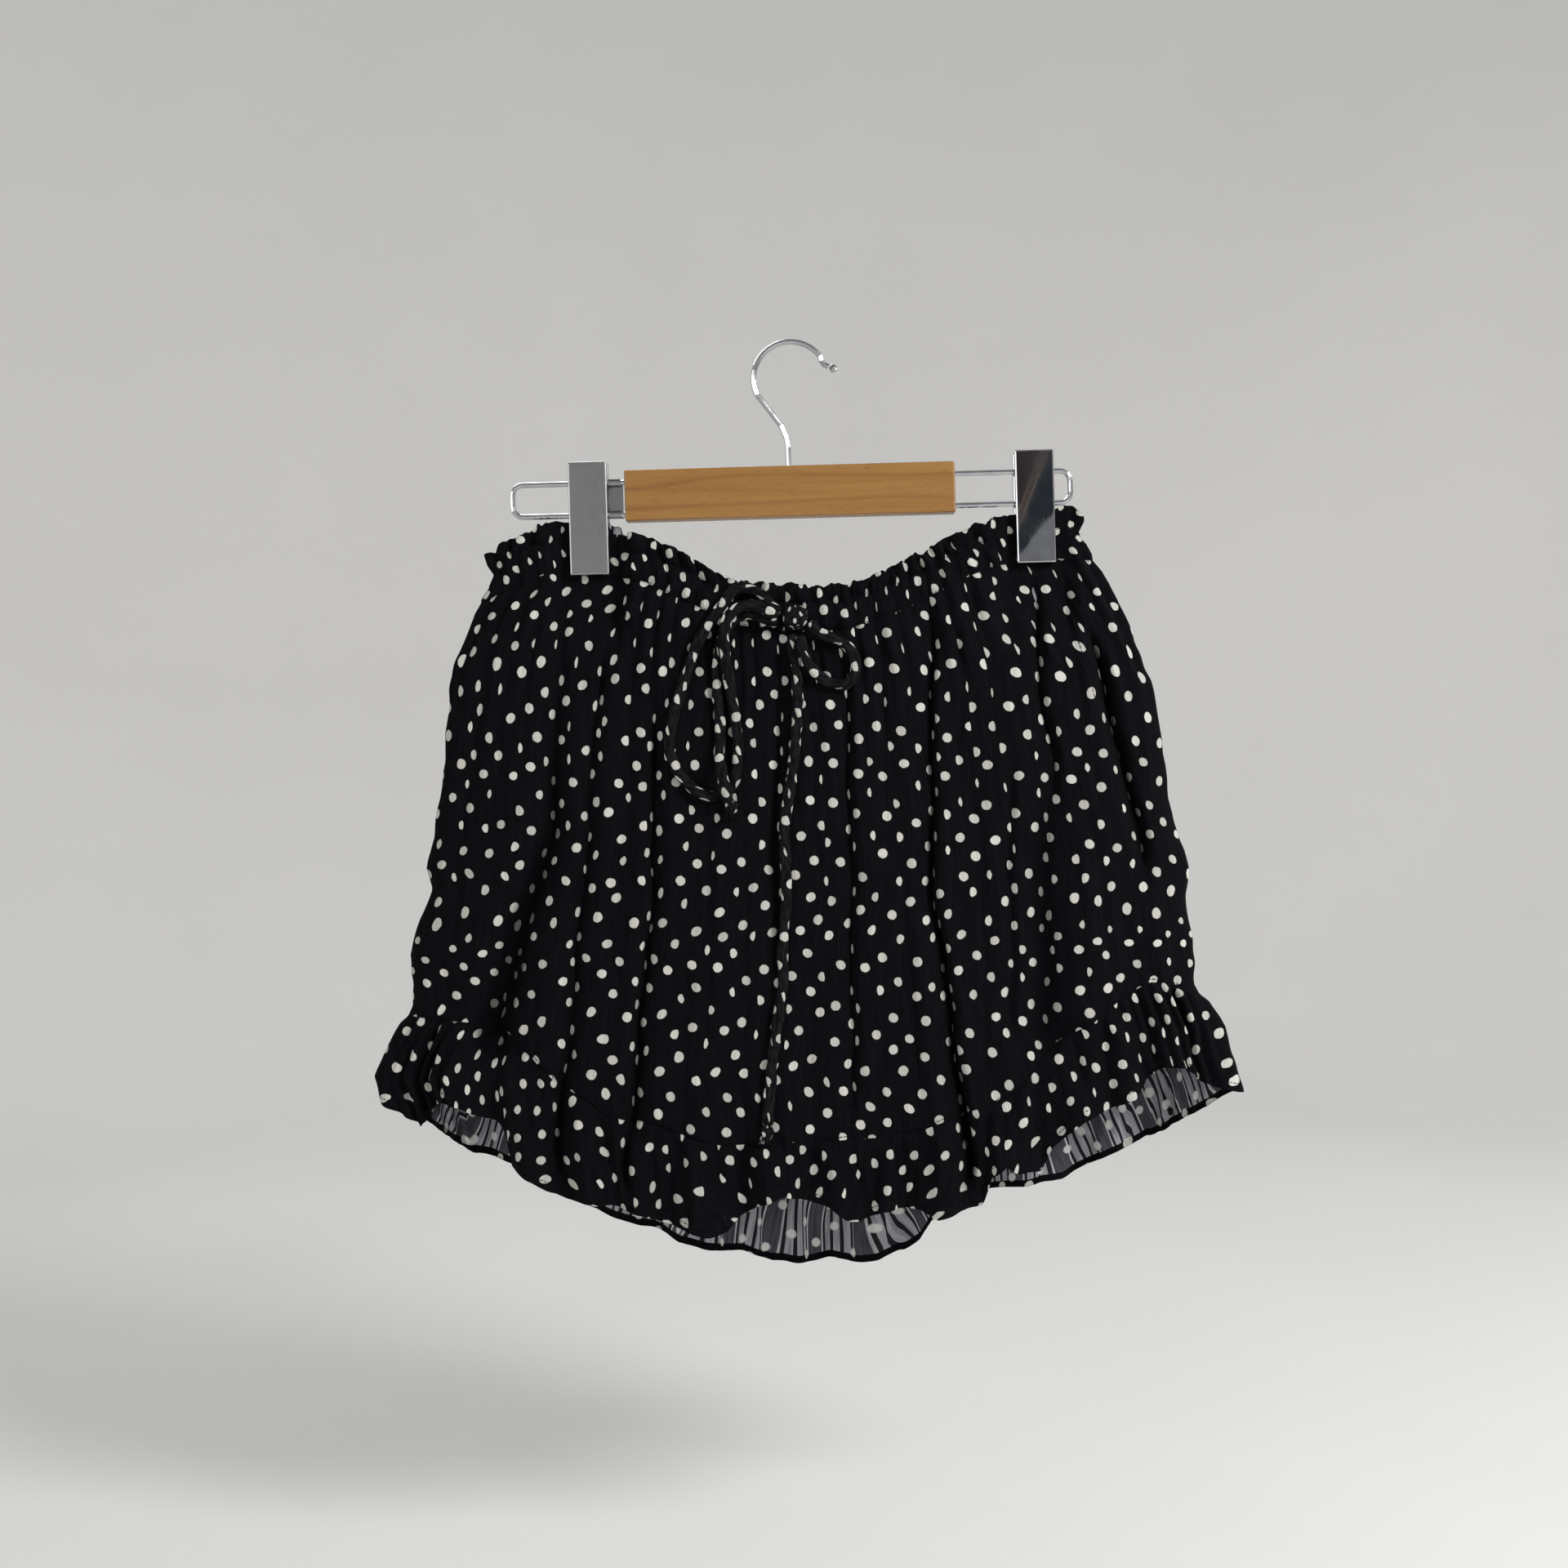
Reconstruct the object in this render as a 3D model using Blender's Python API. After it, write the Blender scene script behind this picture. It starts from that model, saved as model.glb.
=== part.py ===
"""A short gathered skirt with a frilled waist, a bow and a hem ruffle, held by a bar hanger's two clips.

Front of the garment faces -Y, its right-hand side in view is +X and up is +Z. The origin is the inside top
of the hanger's hook. Lengths in the tables are millimetres.
"""

import math

import bmesh
import bpy
import numpy as np
from mathutils import Vector

MM = 0.001

# Cloth
WAIST_WALL = 1.6
CLOTH_WALL = 1.3
SEAM_GAP = 0.3
ROUNDNESS = 2.6
GATHERS_FRONT = 30
GATHERS_BACK = 22
RUFFLES_FRONT = 28
RUFFLES_BACK = 20
PINCHED_HALF = 1.2

# Drawstring
TIE_R = 3.2
KNOT_X, KNOT_Z = -2.0, -178.0
KNOT_SIZE = (17.0, 11.0, 15.0)

# Hanger
BAR_X0, BAR_X1 = -109.0, 103.0
BAR_Z0, BAR_Z1 = -111.4, -78.7
BAR_DEPTH = 13.0
WIRE_R = 1.75
WIRE_TOP, WIRE_LOW = -86.0, -106.5
WIRE_LEFT, WIRE_RIGHT = -181.4, 177.5
WIRE_BEND = 6.5
HOOK_R = 23.9
HOOK_WIRE_R = 1.8
CLIP_W, CLIP_H, CLIP_DEEP = 25.0, 72.5, 5.0
CLIP_TOP = -73.0
CLIP_LEFT_X, CLIP_RIGHT_X = -132.4, 153.7

# Girth by height: z, left edge, right edge, depth of the front and of the back in front of and behind y = 0
SECTIONS = (
    # z,     left,   right,  front, back
    (-100, -194.0, 179.0, 7.0, 7.0),
    (-118, -197.0, 182.5, 8.0, 8.0),
    (-130, -197.0, 181.5, 10.0, 10.0),
    (-144, -194.5, 190.0, 12.0, 12.0),
    (-152, -195.5, 194.5, 13.0, 13.0),
    (-160, -203.0, 198.5, 15.0, 15.0),
    (-173, -209.0, 203.5, 17.0, 17.0),
    (-188, -216.0, 210.5, 19.0, 19.0),
    (-204, -221.0, 218.0, 21.0, 21.0),
    (-222, -225.0, 224.0, 22.5, 23.0),
    (-244, -229.5, 227.0, 24.0, 25.0),
    (-264, -230.5, 229.5, 25.0, 27.0),
    (-288, -233.5, 233.5, 26.0, 29.0),
    (-312, -236.0, 238.5, 27.0, 30.0),
    (-331, -243.0, 243.0, 28.0, 31.0),
    (-344, -241.0, 244.5, 29.0, 32.0),
    (-360, -245.0, 245.0, 30.0, 33.0),
    (-386, -254.5, 247.0, 31.0, 34.0),
    (-404, -253.0, 248.5, 32.0, 35.0),
    (-418, -252.0, 249.0, 32.5, 36.0),
    (-430, -258.0, 255.0, 33.0, 36.5),
    (-446, -266.5, 262.0, 33.5, 37.0),
    (-463, -274.0, 264.5, 34.0, 38.0),
    (-478, -270.0, 268.5, 34.0, 38.0),
    (-492, -268.0, 270.5, 34.5, 38.5),
    (-530, -262.0, 268.0, 35.5, 40.0),
    (-605, -256.0, 262.0, 37.0, 42.0),
)

# Heights along the width: x, z
TOP_EDGE = (
    (-196, -131.0),
    (-191, -126.0),
    (-185, -121.5),
    (-171, -116.0),
    (-160, -111.5),
    (-151, -110.5),
    (-144, -111.0),
    (-120, -113.0),
    (-117, -119.5),
    (-97, -120.8),
    (-83, -128.0),
    (-69, -135.5),
    (-56, -145.0),
    (-40, -151.5),
    (-16, -154.5),
    (4, -157.3),
    (28, -156.5),
    (42, -153.3),
    (56, -148.5),
    (66, -141.8),
    (80, -138.5),
    (88, -132.5),
    (102, -124.8),
    (114, -119.8),
    (121, -121.5),
    (125, -115.5),
    (141, -113.5),
    (166, -111.5),
    (171, -108.3),
    (178, -108.3),
    (182, -113.0),
)
CASING_LINE = (
    (-196, -161.0),
    (-171, -147.0),
    (-151, -142.0),
    (-120, -145.5),
    (-97, -151.5),
    (-69, -165.5),
    (-40, -180.5),
    (0, -186.5),
    (28, -186.0),
    (56, -178.5),
    (80, -168.0),
    (102, -156.0),
    (125, -147.5),
    (141, -144.0),
    (166, -142.5),
    (182, -144.5),
)
SEAM_FRONT = (
    (-250, -424.0),
    (-202, -430.0),
    (-190, -437.0),
    (-178, -447.0),
    (-166, -458.5),
    (-156, -468.0),
    (-142, -476.5),
    (-131, -486.5),
    (-115, -491.0),
    (-100, -493.0),
    (-75, -503.5),
    (-57, -508.0),
    (-28, -507.0),
    (11, -507.0),
    (44, -505.5),
    (69, -501.5),
    (90, -492.5),
    (116, -487.0),
    (133, -475.0),
    (147, -459.0),
    (161, -447.0),
    (178, -438.0),
    (192, -427.0),
    (216, -414.5),
    (228, -415.5),
    (249, -424.0),
)
HEM_FRONT = (
    (-272, -480.0),
    (-250, -494.0),
    (-236, -476.0),
    (-219, -483.0),
    (-199, -490.5),
    (-193, -499.0),
    (-190, -517.0),
    (-180, -525.0),
    (-168, -533.4),
    (-155, -539.3),
    (-121, -545.0),
    (-103, -552.0),
    (-77, -562.0),
    (-66, -563.6),
    (-54, -560.5),
    (-47, -553.0),
    (-36, -545.5),
    (-20, -540.5),
    (-8, -542.3),
    (10, -548.5),
    (21, -556.5),
    (28, -558.0),
    (43, -552.0),
    (66, -550.0),
    (76, -556.5),
    (93, -553.0),
    (106, -549.0),
    (111, -532.0),
    (120, -525.5),
    (128, -531.0),
    (144, -530.0),
    (151, -516.5),
    (160, -507.5),
    (171, -498.3),
    (187, -493.0),
    (203, -486.5),
    (212, -476.0),
    (223, -467.0),
    (235, -468.5),
    (251, -480.0),
    (264, -485.5),
    (269, -488.0),
)
SEAM_BACK = (
    (-250, -424.0),
    (-215, -452.0),
    (-160, -488.0),
    (-100, -513.0),
    (-40, -534.0),
    (30, -538.0),
    (80, -524.0),
    (120, -500.0),
    (165, -486.0),
    (205, -466.0),
    (249, -424.0),
)
HEM_BACK = (
    (-272, -480.0),
    (-240, -505.0),
    (-221, -519.0),
    (-208, -523.0),
    (-147, -561.0),
    (-134, -566.3),
    (-98, -578.5),
    (-90, -584.5),
    (-74, -589.5),
    (-58, -590.0),
    (-41, -595.4),
    (-28, -599.5),
    (10, -600.0),
    (25, -601.6),
    (42, -600.5),
    (60, -595.0),
    (70, -587.0),
    (78, -575.0),
    (116, -556.0),
    (153, -550.0),
    (165, -549.0),
    (175, -543.2),
    (188, -536.5),
    (207, -528.4),
    (224, -521.0),
    (242, -509.0),
    (258, -500.0),
    (269, -488.0),
)

# By drop below the top edge: outward swell and depth of the small gathers
WAIST_PROFILE = (
    # drop, swell, gather
    (0, 1.2, 2.6),
    (6, 0.8, 2.3),
    (12, -1.0, 0.9),
    (20, 1.4, 1.2),
    (26, 0.9, 1.1),
    (30, -0.8, 0.8),
    (37, 0.4, 1.5),
    (50, 0.2, 1.8),
    (75, 0.0, 1.2),
    (120, 0.0, 0.4),
    (190, 0.0, 0.0),
    (500, 0.0, 0.0),
)

# By share of the ruffle's drop: depth of the gathers at the seam and of the flutes at the hem
RUFFLE_PROFILE = (
    # share, gather, flute
    (0.0, 1.1, 0.6),
    (0.25, 1.7, 2.2),
    (0.6, 1.0, 3.8),
    (1.0, 0.4, 5.2),
)

# Valleys: x and z of head, middle and foot, depth at head and foot, half-width at head and foot, overlap
FOLDS_FRONT = (
    # xh,    zh,    xm,    zm,    xf,    zf,   dh,  df,  wh,  wf,  lap
    (-150.0, -170, -161.0, -310, -202.0, -432, 3.0, 16.0, 5.0, 17.0, 0.0),
    (-196.0, -180, -212.0, -270, -226.0, -340, 2.5, 4.0, 6.0, 8.0, 0.0),
    (-124.0, -190, -138.0, -345, -157.0, -508, 5.0, 8.5, 4.5, 8.5, -0.35),
    (-90.0, -215, -93.0, -340, -113.0, -520, 5.0, 9.0, 4.5, 7.0, -0.4),
    (-14.0, -215, -18.0, -300, -19.0, -380, 3.5, 3.0, 4.0, 5.0, 0.4),
    (28.0, -205, 27.0, -340, 24.0, -470, 4.5, 5.0, 4.0, 4.8, 0.4),
    (82.0, -168, 75.0, -350, 92.0, -520, 6.0, 12.0, 4.8, 7.5, 0.5),
    (150.0, -158, 150.0, -225, 157.0, -275, 8.0, 6.0, 5.0, 6.0, 0.4),
    (156.0, -285, 150.0, -350, 151.0, -440, 7.0, 8.0, 17.0, 20.0, 0.0),
    (184.0, -186, 199.0, -255, 214.0, -322, 7.0, 7.0, 4.5, 5.0, 0.5),
    (131.0, -265, 127.0, -350, 126.0, -430, 3.0, 4.0, 5.0, 6.0, 0.4),
)
FOLDS_BACK = (
    # xh,    zh,    xm,    zm,    xf,    zf,   dh,  df,  wh,  wf,  lap
    (-168.0, -175, -182.0, -320, -196.0, -460, 4.0, 10.0, 5.0, 9.0, 0.4),
    (-112.0, -180, -120.0, -340, -131.0, -520, 5.0, 11.0, 4.5, 7.5, 0.4),
    (-62.0, -190, -70.0, -350, -72.0, -540, 4.0, 8.0, 4.5, 7.0, 0.4),
    (-6.0, -195, -4.0, -350, 4.0, -545, 4.5, 9.0, 4.5, 7.5, 0.4),
    (58.0, -190, 62.0, -350, 70.0, -535, 4.0, 9.0, 4.5, 7.0, 0.4),
    (118.0, -175, 122.0, -340, 134.0, -500, 6.0, 12.0, 4.8, 8.0, 0.4),
    (172.0, -180, 184.0, -320, 198.0, -460, 4.0, 9.0, 5.0, 8.0, 0.4),
)

# Cord paths: x, z, lift off the cloth
LOOP_LEFT = (
    (-11.5, -173.5, 2.0),
    (-17.0, -169.0, 1.0),
    (-23.0, -162.5, 0.5),
    (-29.0, -158.5, 0.0),
    (-36.2, -157.8, 0.0),
    (-43.0, -162.0, 0.0),
    (-50.5, -172.0, 0.0),
    (-63.0, -190.5, 0.0),
    (-72.7, -214.8, 0.0),
    (-80.5, -239.7, 0.0),
    (-83.0, -256.1, 0.0),
    (-78.8, -272.6, 0.0),
    (-68.4, -284.2, 0.0),
    (-57.2, -289.1, 0.0),
    (-47.4, -286.0, 0.0),
    (-41.5, -274.1, 0.0),
    (-40.0, -258.7, 0.0),
    (-41.0, -243.3, 1.0),
    (-43.2, -225.3, 3.0),
    (-46.2, -204.7, 6.0),
    (-46.3, -186.7, 7.2),
    (-42.5, -175.0, 7.2),
    (-34.5, -170.0, 7.2),
    (-25.0, -170.5, 7.2),
    (-17.0, -175.0, 7.0),
    (-13.2, -178.0, 6.0),
)
TAIL_SHORT = (
    (-13.0, -181.5, 0.0),
    (-19.0, -179.0, 0.0),
    (-27.0, -176.0, 0.0),
    (-36.0, -176.0, 0.0),
    (-43.5, -181.0, 0.0),
    (-48.6, -190.0, 0.0),
    (-51.6, -204.6, 0.0),
    (-52.3, -222.5, 0.0),
    (-50.9, -246.7, 0.0),
    (-51.5, -264.0, 2.0),
    (-50.5, -276.0, 7.0),
    (-48.0, -286.5, 8.0),
    (-46.2, -293.0, 4.0),
)
LOOP_RIGHT = (
    (7.5, -181.0, 4.5),
    (12.5, -187.5, 2.0),
    (21.3, -191.7, 0.0),
    (30.5, -197.0, 0.0),
    (35.0, -206.9, 0.0),
    (33.0, -217.1, 0.0),
    (25.7, -221.6, 0.0),
    (15.5, -217.7, 0.0),
    (6.8, -209.2, 4.0),
    (2.5, -199.0, 7.0),
    (0.5, -190.0, 7.5),
)
TAIL_LONG = (
    (-4.5, -188.5, 0.0),
    (-3.0, -200.8, 0.0),
    (-2.0, -221.3, 0.0),
    (-2.6, -241.8, 0.0),
    (-4.1, -259.7, 0.0),
    (-7.8, -284.3, 0.0),
    (-12.1, -308.3, 0.0),
    (-12.3, -333.9, 0.0),
    (-12.3, -354.4, 0.0),
    (-15.2, -385.1, 0.0),
    (-16.4, -410.8, 0.0),
    (-21.3, -438.8, 0.0),
    (-25.1, -467.0, 0.0),
    (-27.2, -487.4, 0.0),
    (-27.9, -495.0, 1.1),
)

FRONT, BACK = -1, 1


def column(table, index):
    """One named column of a table as an array."""
    return np.array([row[index] for row in table], float)


def ease(t):
    t = np.clip(t, 0.0, 1.0)
    return t * t * (3.0 - 2.0 * t)


def by_height(z, index):
    """A column of SECTIONS at height z."""
    return np.interp(-np.asarray(z), -column(SECTIONS, 0), column(SECTIONS, index))


def edge_height(share, table, passes=3):
    """Height along a table's line at the shares of the width, 0 at the left edge and 1 at the right."""
    x, z = column(table, 0), column(table, 1)
    for _ in range(passes):
        at = (x - by_height(z, 1)) / (by_height(z, 2) - by_height(z, 1))
    at[0], at[-1] = 0.0, 1.0
    return np.interp(share, at, z)


def clip_pinch(x, z):
    """1 where a clip holds both layers flat, fading to 0 away from it."""
    hold = 0.0
    for centre in (CLIP_LEFT_X, CLIP_RIGHT_X):
        hold = np.maximum(hold, ease((29.0 - np.abs(x - centre)) / 12.0))
    return hold * ease((z + 206.0) / 46.0)


def section(side, angle, z):
    """Smooth girth at height z, from the left seam at angle 0 to the right one at pi.

    Gives x, y and the share of the width.
    """
    left, right = by_height(z, 1), by_height(z, 2)
    across, around = -np.cos(angle), np.sin(angle)
    across = np.sign(across) * np.abs(across) ** (2.0 / ROUNDNESS)
    around = np.sign(around) * np.abs(around) ** (2.0 / ROUNDNESS)
    share = 0.5 * (1.0 + across)
    x = left + (right - left) * share
    pinch = clip_pinch(x, z)
    half = by_height(z, 3 if side == FRONT else 4) * around
    return x, side * (half * (1.0 - pinch) + PINCHED_HALF * pinch * np.sign(around)), share


def line_heights(side, share):
    """Top edge, casing's lower edge, ruffle seam and hem at a share of the width."""
    top, casing = edge_height(share, TOP_EDGE), edge_height(share, CASING_LINE)
    if side == FRONT:
        return top, casing, edge_height(share, SEAM_FRONT), edge_height(share, HEM_FRONT)
    top = np.minimum(top, -111.0)
    return top, casing, edge_height(share, SEAM_BACK), edge_height(share, HEM_BACK)


def wave(share, count, phase=0.0):
    """Uneven waves, the same at both side seams."""
    shifted = share + 0.010 * np.sin(6.0 * np.pi * share + phase) - 0.010 * math.sin(phase)
    shifted = shifted + 0.005 * np.sin(14.0 * np.pi * share)
    return np.cos(2.0 * np.pi * count * shifted)


def valleys(side, x, z):
    """Depth of the folds into the cloth, and the sideways slip of their overlapping banks."""
    deep, slip = np.zeros_like(x), np.zeros_like(x)
    for xh, zh, xm, zm, xf, zf, dh, df, wh, wf, lean in FOLDS_FRONT if side == FRONT else FOLDS_BACK:
        centre = np.interp(-z, (-zh, -zm, -zf), (xh, xm, xf))
        along = np.clip((zh - z) / (zh - zf), 0.0, 1.0)
        fade = ease((zh + 12.0 - z) / 42.0) * ease((z - zf + 34.0) / 34.0)
        depth = (dh + (df - dh) * along) * fade
        off = (x - centre) / (wh + (wf - wh) * along)
        notch = depth * np.exp(-off * off)
        deep += notch - 0.3 * depth * np.exp(-((off / 2.8) ** 2))
        slip += lean * notch
    return deep, slip


def relief(side, share, x, z):
    """Outward displacement of the cloth: casing, gathers, drape, ruffle and folds. Also the folds' slip."""
    top, casing, seam, hem = line_heights(side, share)
    drop = np.where(z > casing, 30.0 * (top - z) / (top - casing), 30.0 + casing - z)
    free = 1.0 - 0.95 * clip_pinch(x, z)
    edge = np.clip(14.0 * share * (1.0 - share), 0.0, 1.0)
    count = GATHERS_FRONT if side == FRONT else GATHERS_BACK
    uneven = 0.8 + 0.2 * np.sin(2.0 * np.pi * 7.0 * share)
    out = np.interp(drop, column(WAIST_PROFILE, 0), column(WAIST_PROFILE, 1)) * free
    small = np.interp(drop, column(WAIST_PROFILE, 0), column(WAIST_PROFILE, 2))
    out = out + small * free * uneven * wave(share, count)
    settle = ease((drop - 30.0) / 120.0) * edge
    out = out + settle * 1.5 * np.sin(2.0 * np.pi * 4.3 * share + 0.8 + z / 110.0)
    out = out + settle * 1.0 * np.sin(2.0 * np.pi * 10.7 * share + 2.1 - z / 80.0)
    part = np.clip((seam - z) / (seam - hem), 0.0, 1.0)
    below = ease((seam - z) / 6.0)
    flutes = RUFFLES_FRONT if side == FRONT else RUFFLES_BACK
    gather = np.interp(part, column(RUFFLE_PROFILE, 0), column(RUFFLE_PROFILE, 1))
    flute = np.interp(part, column(RUFFLE_PROFILE, 0), column(RUFFLE_PROFILE, 2))
    out = out + below * (0.8 + gather * wave(share, flutes, 0.7) + flute * wave(share, flutes // 2, 1.9))
    deep, slip = valleys(side, x, z)
    return out - deep * edge, slip * edge


def cloth(side, angle, z):
    """Middle of the cloth's wall."""
    x, y, share = section(side, angle, z)
    x0, y0, _ = section(side, angle - 1e-3, z)
    x1, y1, _ = section(side, angle + 1e-3, z)
    run = np.hypot(x1 - x0, y1 - y0)
    out, slip = relief(side, share, x, z)
    x = x - side * (y1 - y0) / run * out + slip
    return np.stack([x, y + side * (x1 - x0) / run * out, z + 0.0 * x], axis=-1)


def wall(side, angle, z, thick):
    """Outer and inner faces of a wall on the cloth's middle."""
    middle = cloth(side, angle, z)
    turn = cloth(side, angle + 2e-3, z) - cloth(side, angle - 2e-3, z)
    fall = cloth(side, angle, z - 0.5) - cloth(side, angle, z + 0.5)
    normal = np.cross(turn, fall) * side
    normal /= np.linalg.norm(normal, axis=-1, keepdims=True)
    outer, inner = middle + normal * thick / 2.0, middle - normal * thick / 2.0
    for face in (outer, inner):
        face[..., 1] += side * SEAM_GAP / 2.0
        face[:, (0, -1), 1] = side * SEAM_GAP / 2.0
    return outer, inner


def even_turns(side, count, low, high):
    """Angles of the columns, closer together where the cloth turns more."""
    fine = np.linspace(0.0, math.pi, 1801)
    weight = np.zeros(1800)
    for share in np.linspace(0.0, 1.0, 5):
        z = low(side, fine) * share + high(side, fine) * (1.0 - share)
        points = cloth(side, fine, z)[:, :2]
        step = np.diff(points, axis=0)
        length = np.hypot(step[:, 0], step[:, 1])
        heading = np.convolve(np.unwrap(np.arctan2(step[:, 1], step[:, 0])), np.ones(15) / 15.0, "same")
        turn = np.abs(np.gradient(heading))
        turn[:12] = turn[-12:] = 0.0
        weight += length / length.sum() + 0.55 * turn / turn.sum()
    sums = np.concatenate([[0.0], np.cumsum(weight)])
    return np.interp(np.linspace(0.0, sums[-1], count + 1), sums, fine)


def wave_angles(count, phase=0.0):
    """Angles of four columns to each wave."""
    fine = np.linspace(0.0, math.pi, 4001)
    across = -np.cos(fine)
    share = 0.5 * (1.0 + np.sign(across) * np.abs(across) ** (2.0 / ROUNDNESS))
    shifted = share + 0.010 * np.sin(6.0 * np.pi * share + phase) - 0.010 * math.sin(phase)
    shifted = shifted + 0.005 * np.sin(14.0 * np.pi * share)
    return np.interp(np.linspace(0.0, 1.0, 4 * count + 1), shifted, fine)


def share_of(angle):
    across = -np.cos(angle)
    return 0.5 * (1.0 + np.sign(across) * np.abs(across) ** (2.0 / ROUNDNESS))


def casing_line(side, angle):
    return line_heights(side, share_of(angle))[1]


def seam_line(side, angle):
    return line_heights(side, share_of(angle))[2]


def grid(side, angle, top, bottom, shares, thick):
    """Wall faces between two height lines, with a row at each share of the fall."""
    z = np.stack([top + (bottom - top) * share for share in shares])
    return wall(side, np.broadcast_to(angle, z.shape), z, thick)


def follow(faces, row, source_faces, source_row, angle, source_angle, gap):
    """Lays one row on another panel's edge, a seam's gap above or below it."""
    for face, source in zip(faces, source_faces):
        edge = source[source_row]
        for axis in range(3):
            face[row, :, axis] = np.interp(angle, source_angle, edge[:, axis])
        slope = np.gradient(face[row, :, 2]) / (np.abs(np.gradient(face[row, :, 0])) + 0.2)
        face[row, :, 2] += gap * np.clip(np.sqrt(1.0 + slope**2), 1.0, 3.0)


def material(name, colour, rough, metallic=0.0):
    made = bpy.data.materials.new(name)
    made.use_nodes = True
    shader = made.node_tree.nodes["Principled BSDF"]
    shader.inputs["Base Color"].default_value = (*colour, 1.0)
    shader.inputs["Roughness"].default_value = rough
    shader.inputs["Metallic"].default_value = metallic
    return made


def add_mesh(name, points, faces, look, smooth=True):
    """A closed mesh facing out, from points in millimetres."""
    mesh = bpy.data.meshes.new(name)
    mesh.from_pydata([Vector(p) * MM for p in points], [], faces)
    shape = bmesh.new()
    shape.from_mesh(mesh)
    bmesh.ops.recalc_face_normals(shape, faces=shape.faces)
    shape.to_mesh(mesh)
    shape.free()
    mesh.polygons.foreach_set("use_smooth", [smooth] * len(mesh.polygons))
    mesh.materials.append(look)
    made = bpy.data.objects.new(name, mesh)
    bpy.context.scene.collection.objects.link(made)
    return made


def add_wall(name, faces, look):
    """A cloth wall closed round its rim."""
    outer, inner = faces
    rows, columns = outer.shape[:2]
    points = np.concatenate([outer.reshape(-1, 3), inner.reshape(-1, 3)])
    behind = rows * columns
    quads = []
    for i in range(rows - 1):
        for j in range(columns - 1):
            a = i * columns + j
            for ring in ((a, a + 1, a + columns + 1), (a, a + columns + 1, a + columns)):
                quads.append(ring)
                quads.append(tuple(behind + k for k in reversed(ring)))
    for j in range(columns - 1):
        low = (rows - 1) * columns + j
        quads.append((j, behind + j, behind + j + 1, j + 1))
        quads.append((low, low + 1, behind + low + 1, behind + low))
    for i in range(rows - 1):
        left, right = i * columns, (i + 1) * columns - 1
        quads.append((left, left + columns, behind + left + columns, behind + left))
        quads.append((right, behind + right, behind + right + columns, right + columns))
    return add_mesh(name, points.tolist(), quads, look)


def panels(side, columns, gathers, ruffles):
    """Waist, body and ruffle of one side of the garment, as pairs of wall faces."""
    turns = even_turns(side, columns, seam_line, casing_line)
    body_rows = (0.0, 0.06, 0.16, 0.28, 0.41, 0.54, 0.67, 0.79, 0.9, 1.0)
    body_rows = body_rows if side == FRONT else (0.0, 0.1, 0.26, 0.44, 0.62, 0.82, 1.0)
    body = grid(side, turns, casing_line(side, turns), seam_line(side, turns), body_rows, CLOTH_WALL)
    ends = turns[[1, 2, -3, -2]]
    folds = np.union1d(wave_angles(gathers), ends)
    top = line_heights(side, share_of(folds))[0]
    waist_rows = (0.0, 0.2, 0.4, 0.68, 1.0) if side == FRONT else (0.0, 0.4, 0.7, 1.0)
    waist = grid(side, folds, top, casing_line(side, folds), waist_rows, WAIST_WALL)
    follow(waist, -1, body, 0, folds, turns, 1.5 * SEAM_GAP)
    flutes = np.union1d(wave_angles(ruffles, 0.7), ends)
    hem = line_heights(side, share_of(flutes))[3]
    ruffle_rows = (0.0, 0.22, 0.6, 1.0) if side == FRONT else (0.0, 0.4, 1.0)
    ruffle = grid(side, flutes, seam_line(side, flutes), hem, ruffle_rows, CLOTH_WALL)
    follow(ruffle, 0, body, -1, flutes, turns, -2.0 * SEAM_GAP)
    return waist, body, ruffle


class Resting:
    """How far forward the front of the garment stands at a place, so that a cord can lie on it."""

    def __init__(self, walls):
        self.points = np.concatenate([finer(finer(outer, 0), 1).reshape(-1, 3) for outer, _ in walls])

    def front(self, x, z, reach):
        near = np.hypot(self.points[:, 0] - x, self.points[:, 2] - z) < reach
        return self.points[near, 1].min()


def finer(points, axis, parts=8):
    """Rows or columns of a grid filled in along straight lines."""
    count = points.shape[axis]
    at = np.arange((count - 1) * parts + 1) / parts
    low = np.minimum(at.astype(int), count - 2)
    shape = [1, 1, 1]
    shape[axis] = -1
    share = (at - low).reshape(shape)
    return np.take(points, low, axis) * (1.0 - share) + np.take(points, low + 1, axis) * share


def smooth_path(rows, spacing):
    """Points at even spacing on a smooth curve through the rows."""
    rows = np.array(rows, float)
    ends = np.vstack([2 * rows[0] - rows[1], rows, 2 * rows[-1] - rows[-2]])
    fine = []
    for i in range(1, len(ends) - 2):
        p0, p1, p2, p3 = ends[i - 1 : i + 3]
        for t in np.linspace(0.0, 1.0, 24, endpoint=False):
            bend = 2 * p0 - 5 * p1 + 4 * p2 - p3
            fine.append(p1 + 0.5 * t * (p2 - p0 + t * (bend + t * (3 * p1 - p0 - 3 * p2 + p3))))
    fine = np.array(fine + [ends[-2]])
    walked = np.concatenate([[0.0], np.cumsum(np.linalg.norm(np.diff(fine, axis=0), axis=1))])
    count = max(2, round(walked[-1] / spacing)) + 1
    at = np.linspace(0.0, walked[-1], count)
    return np.stack([np.interp(at, walked, fine[:, i]) for i in range(fine.shape[1])], axis=1)


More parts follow.
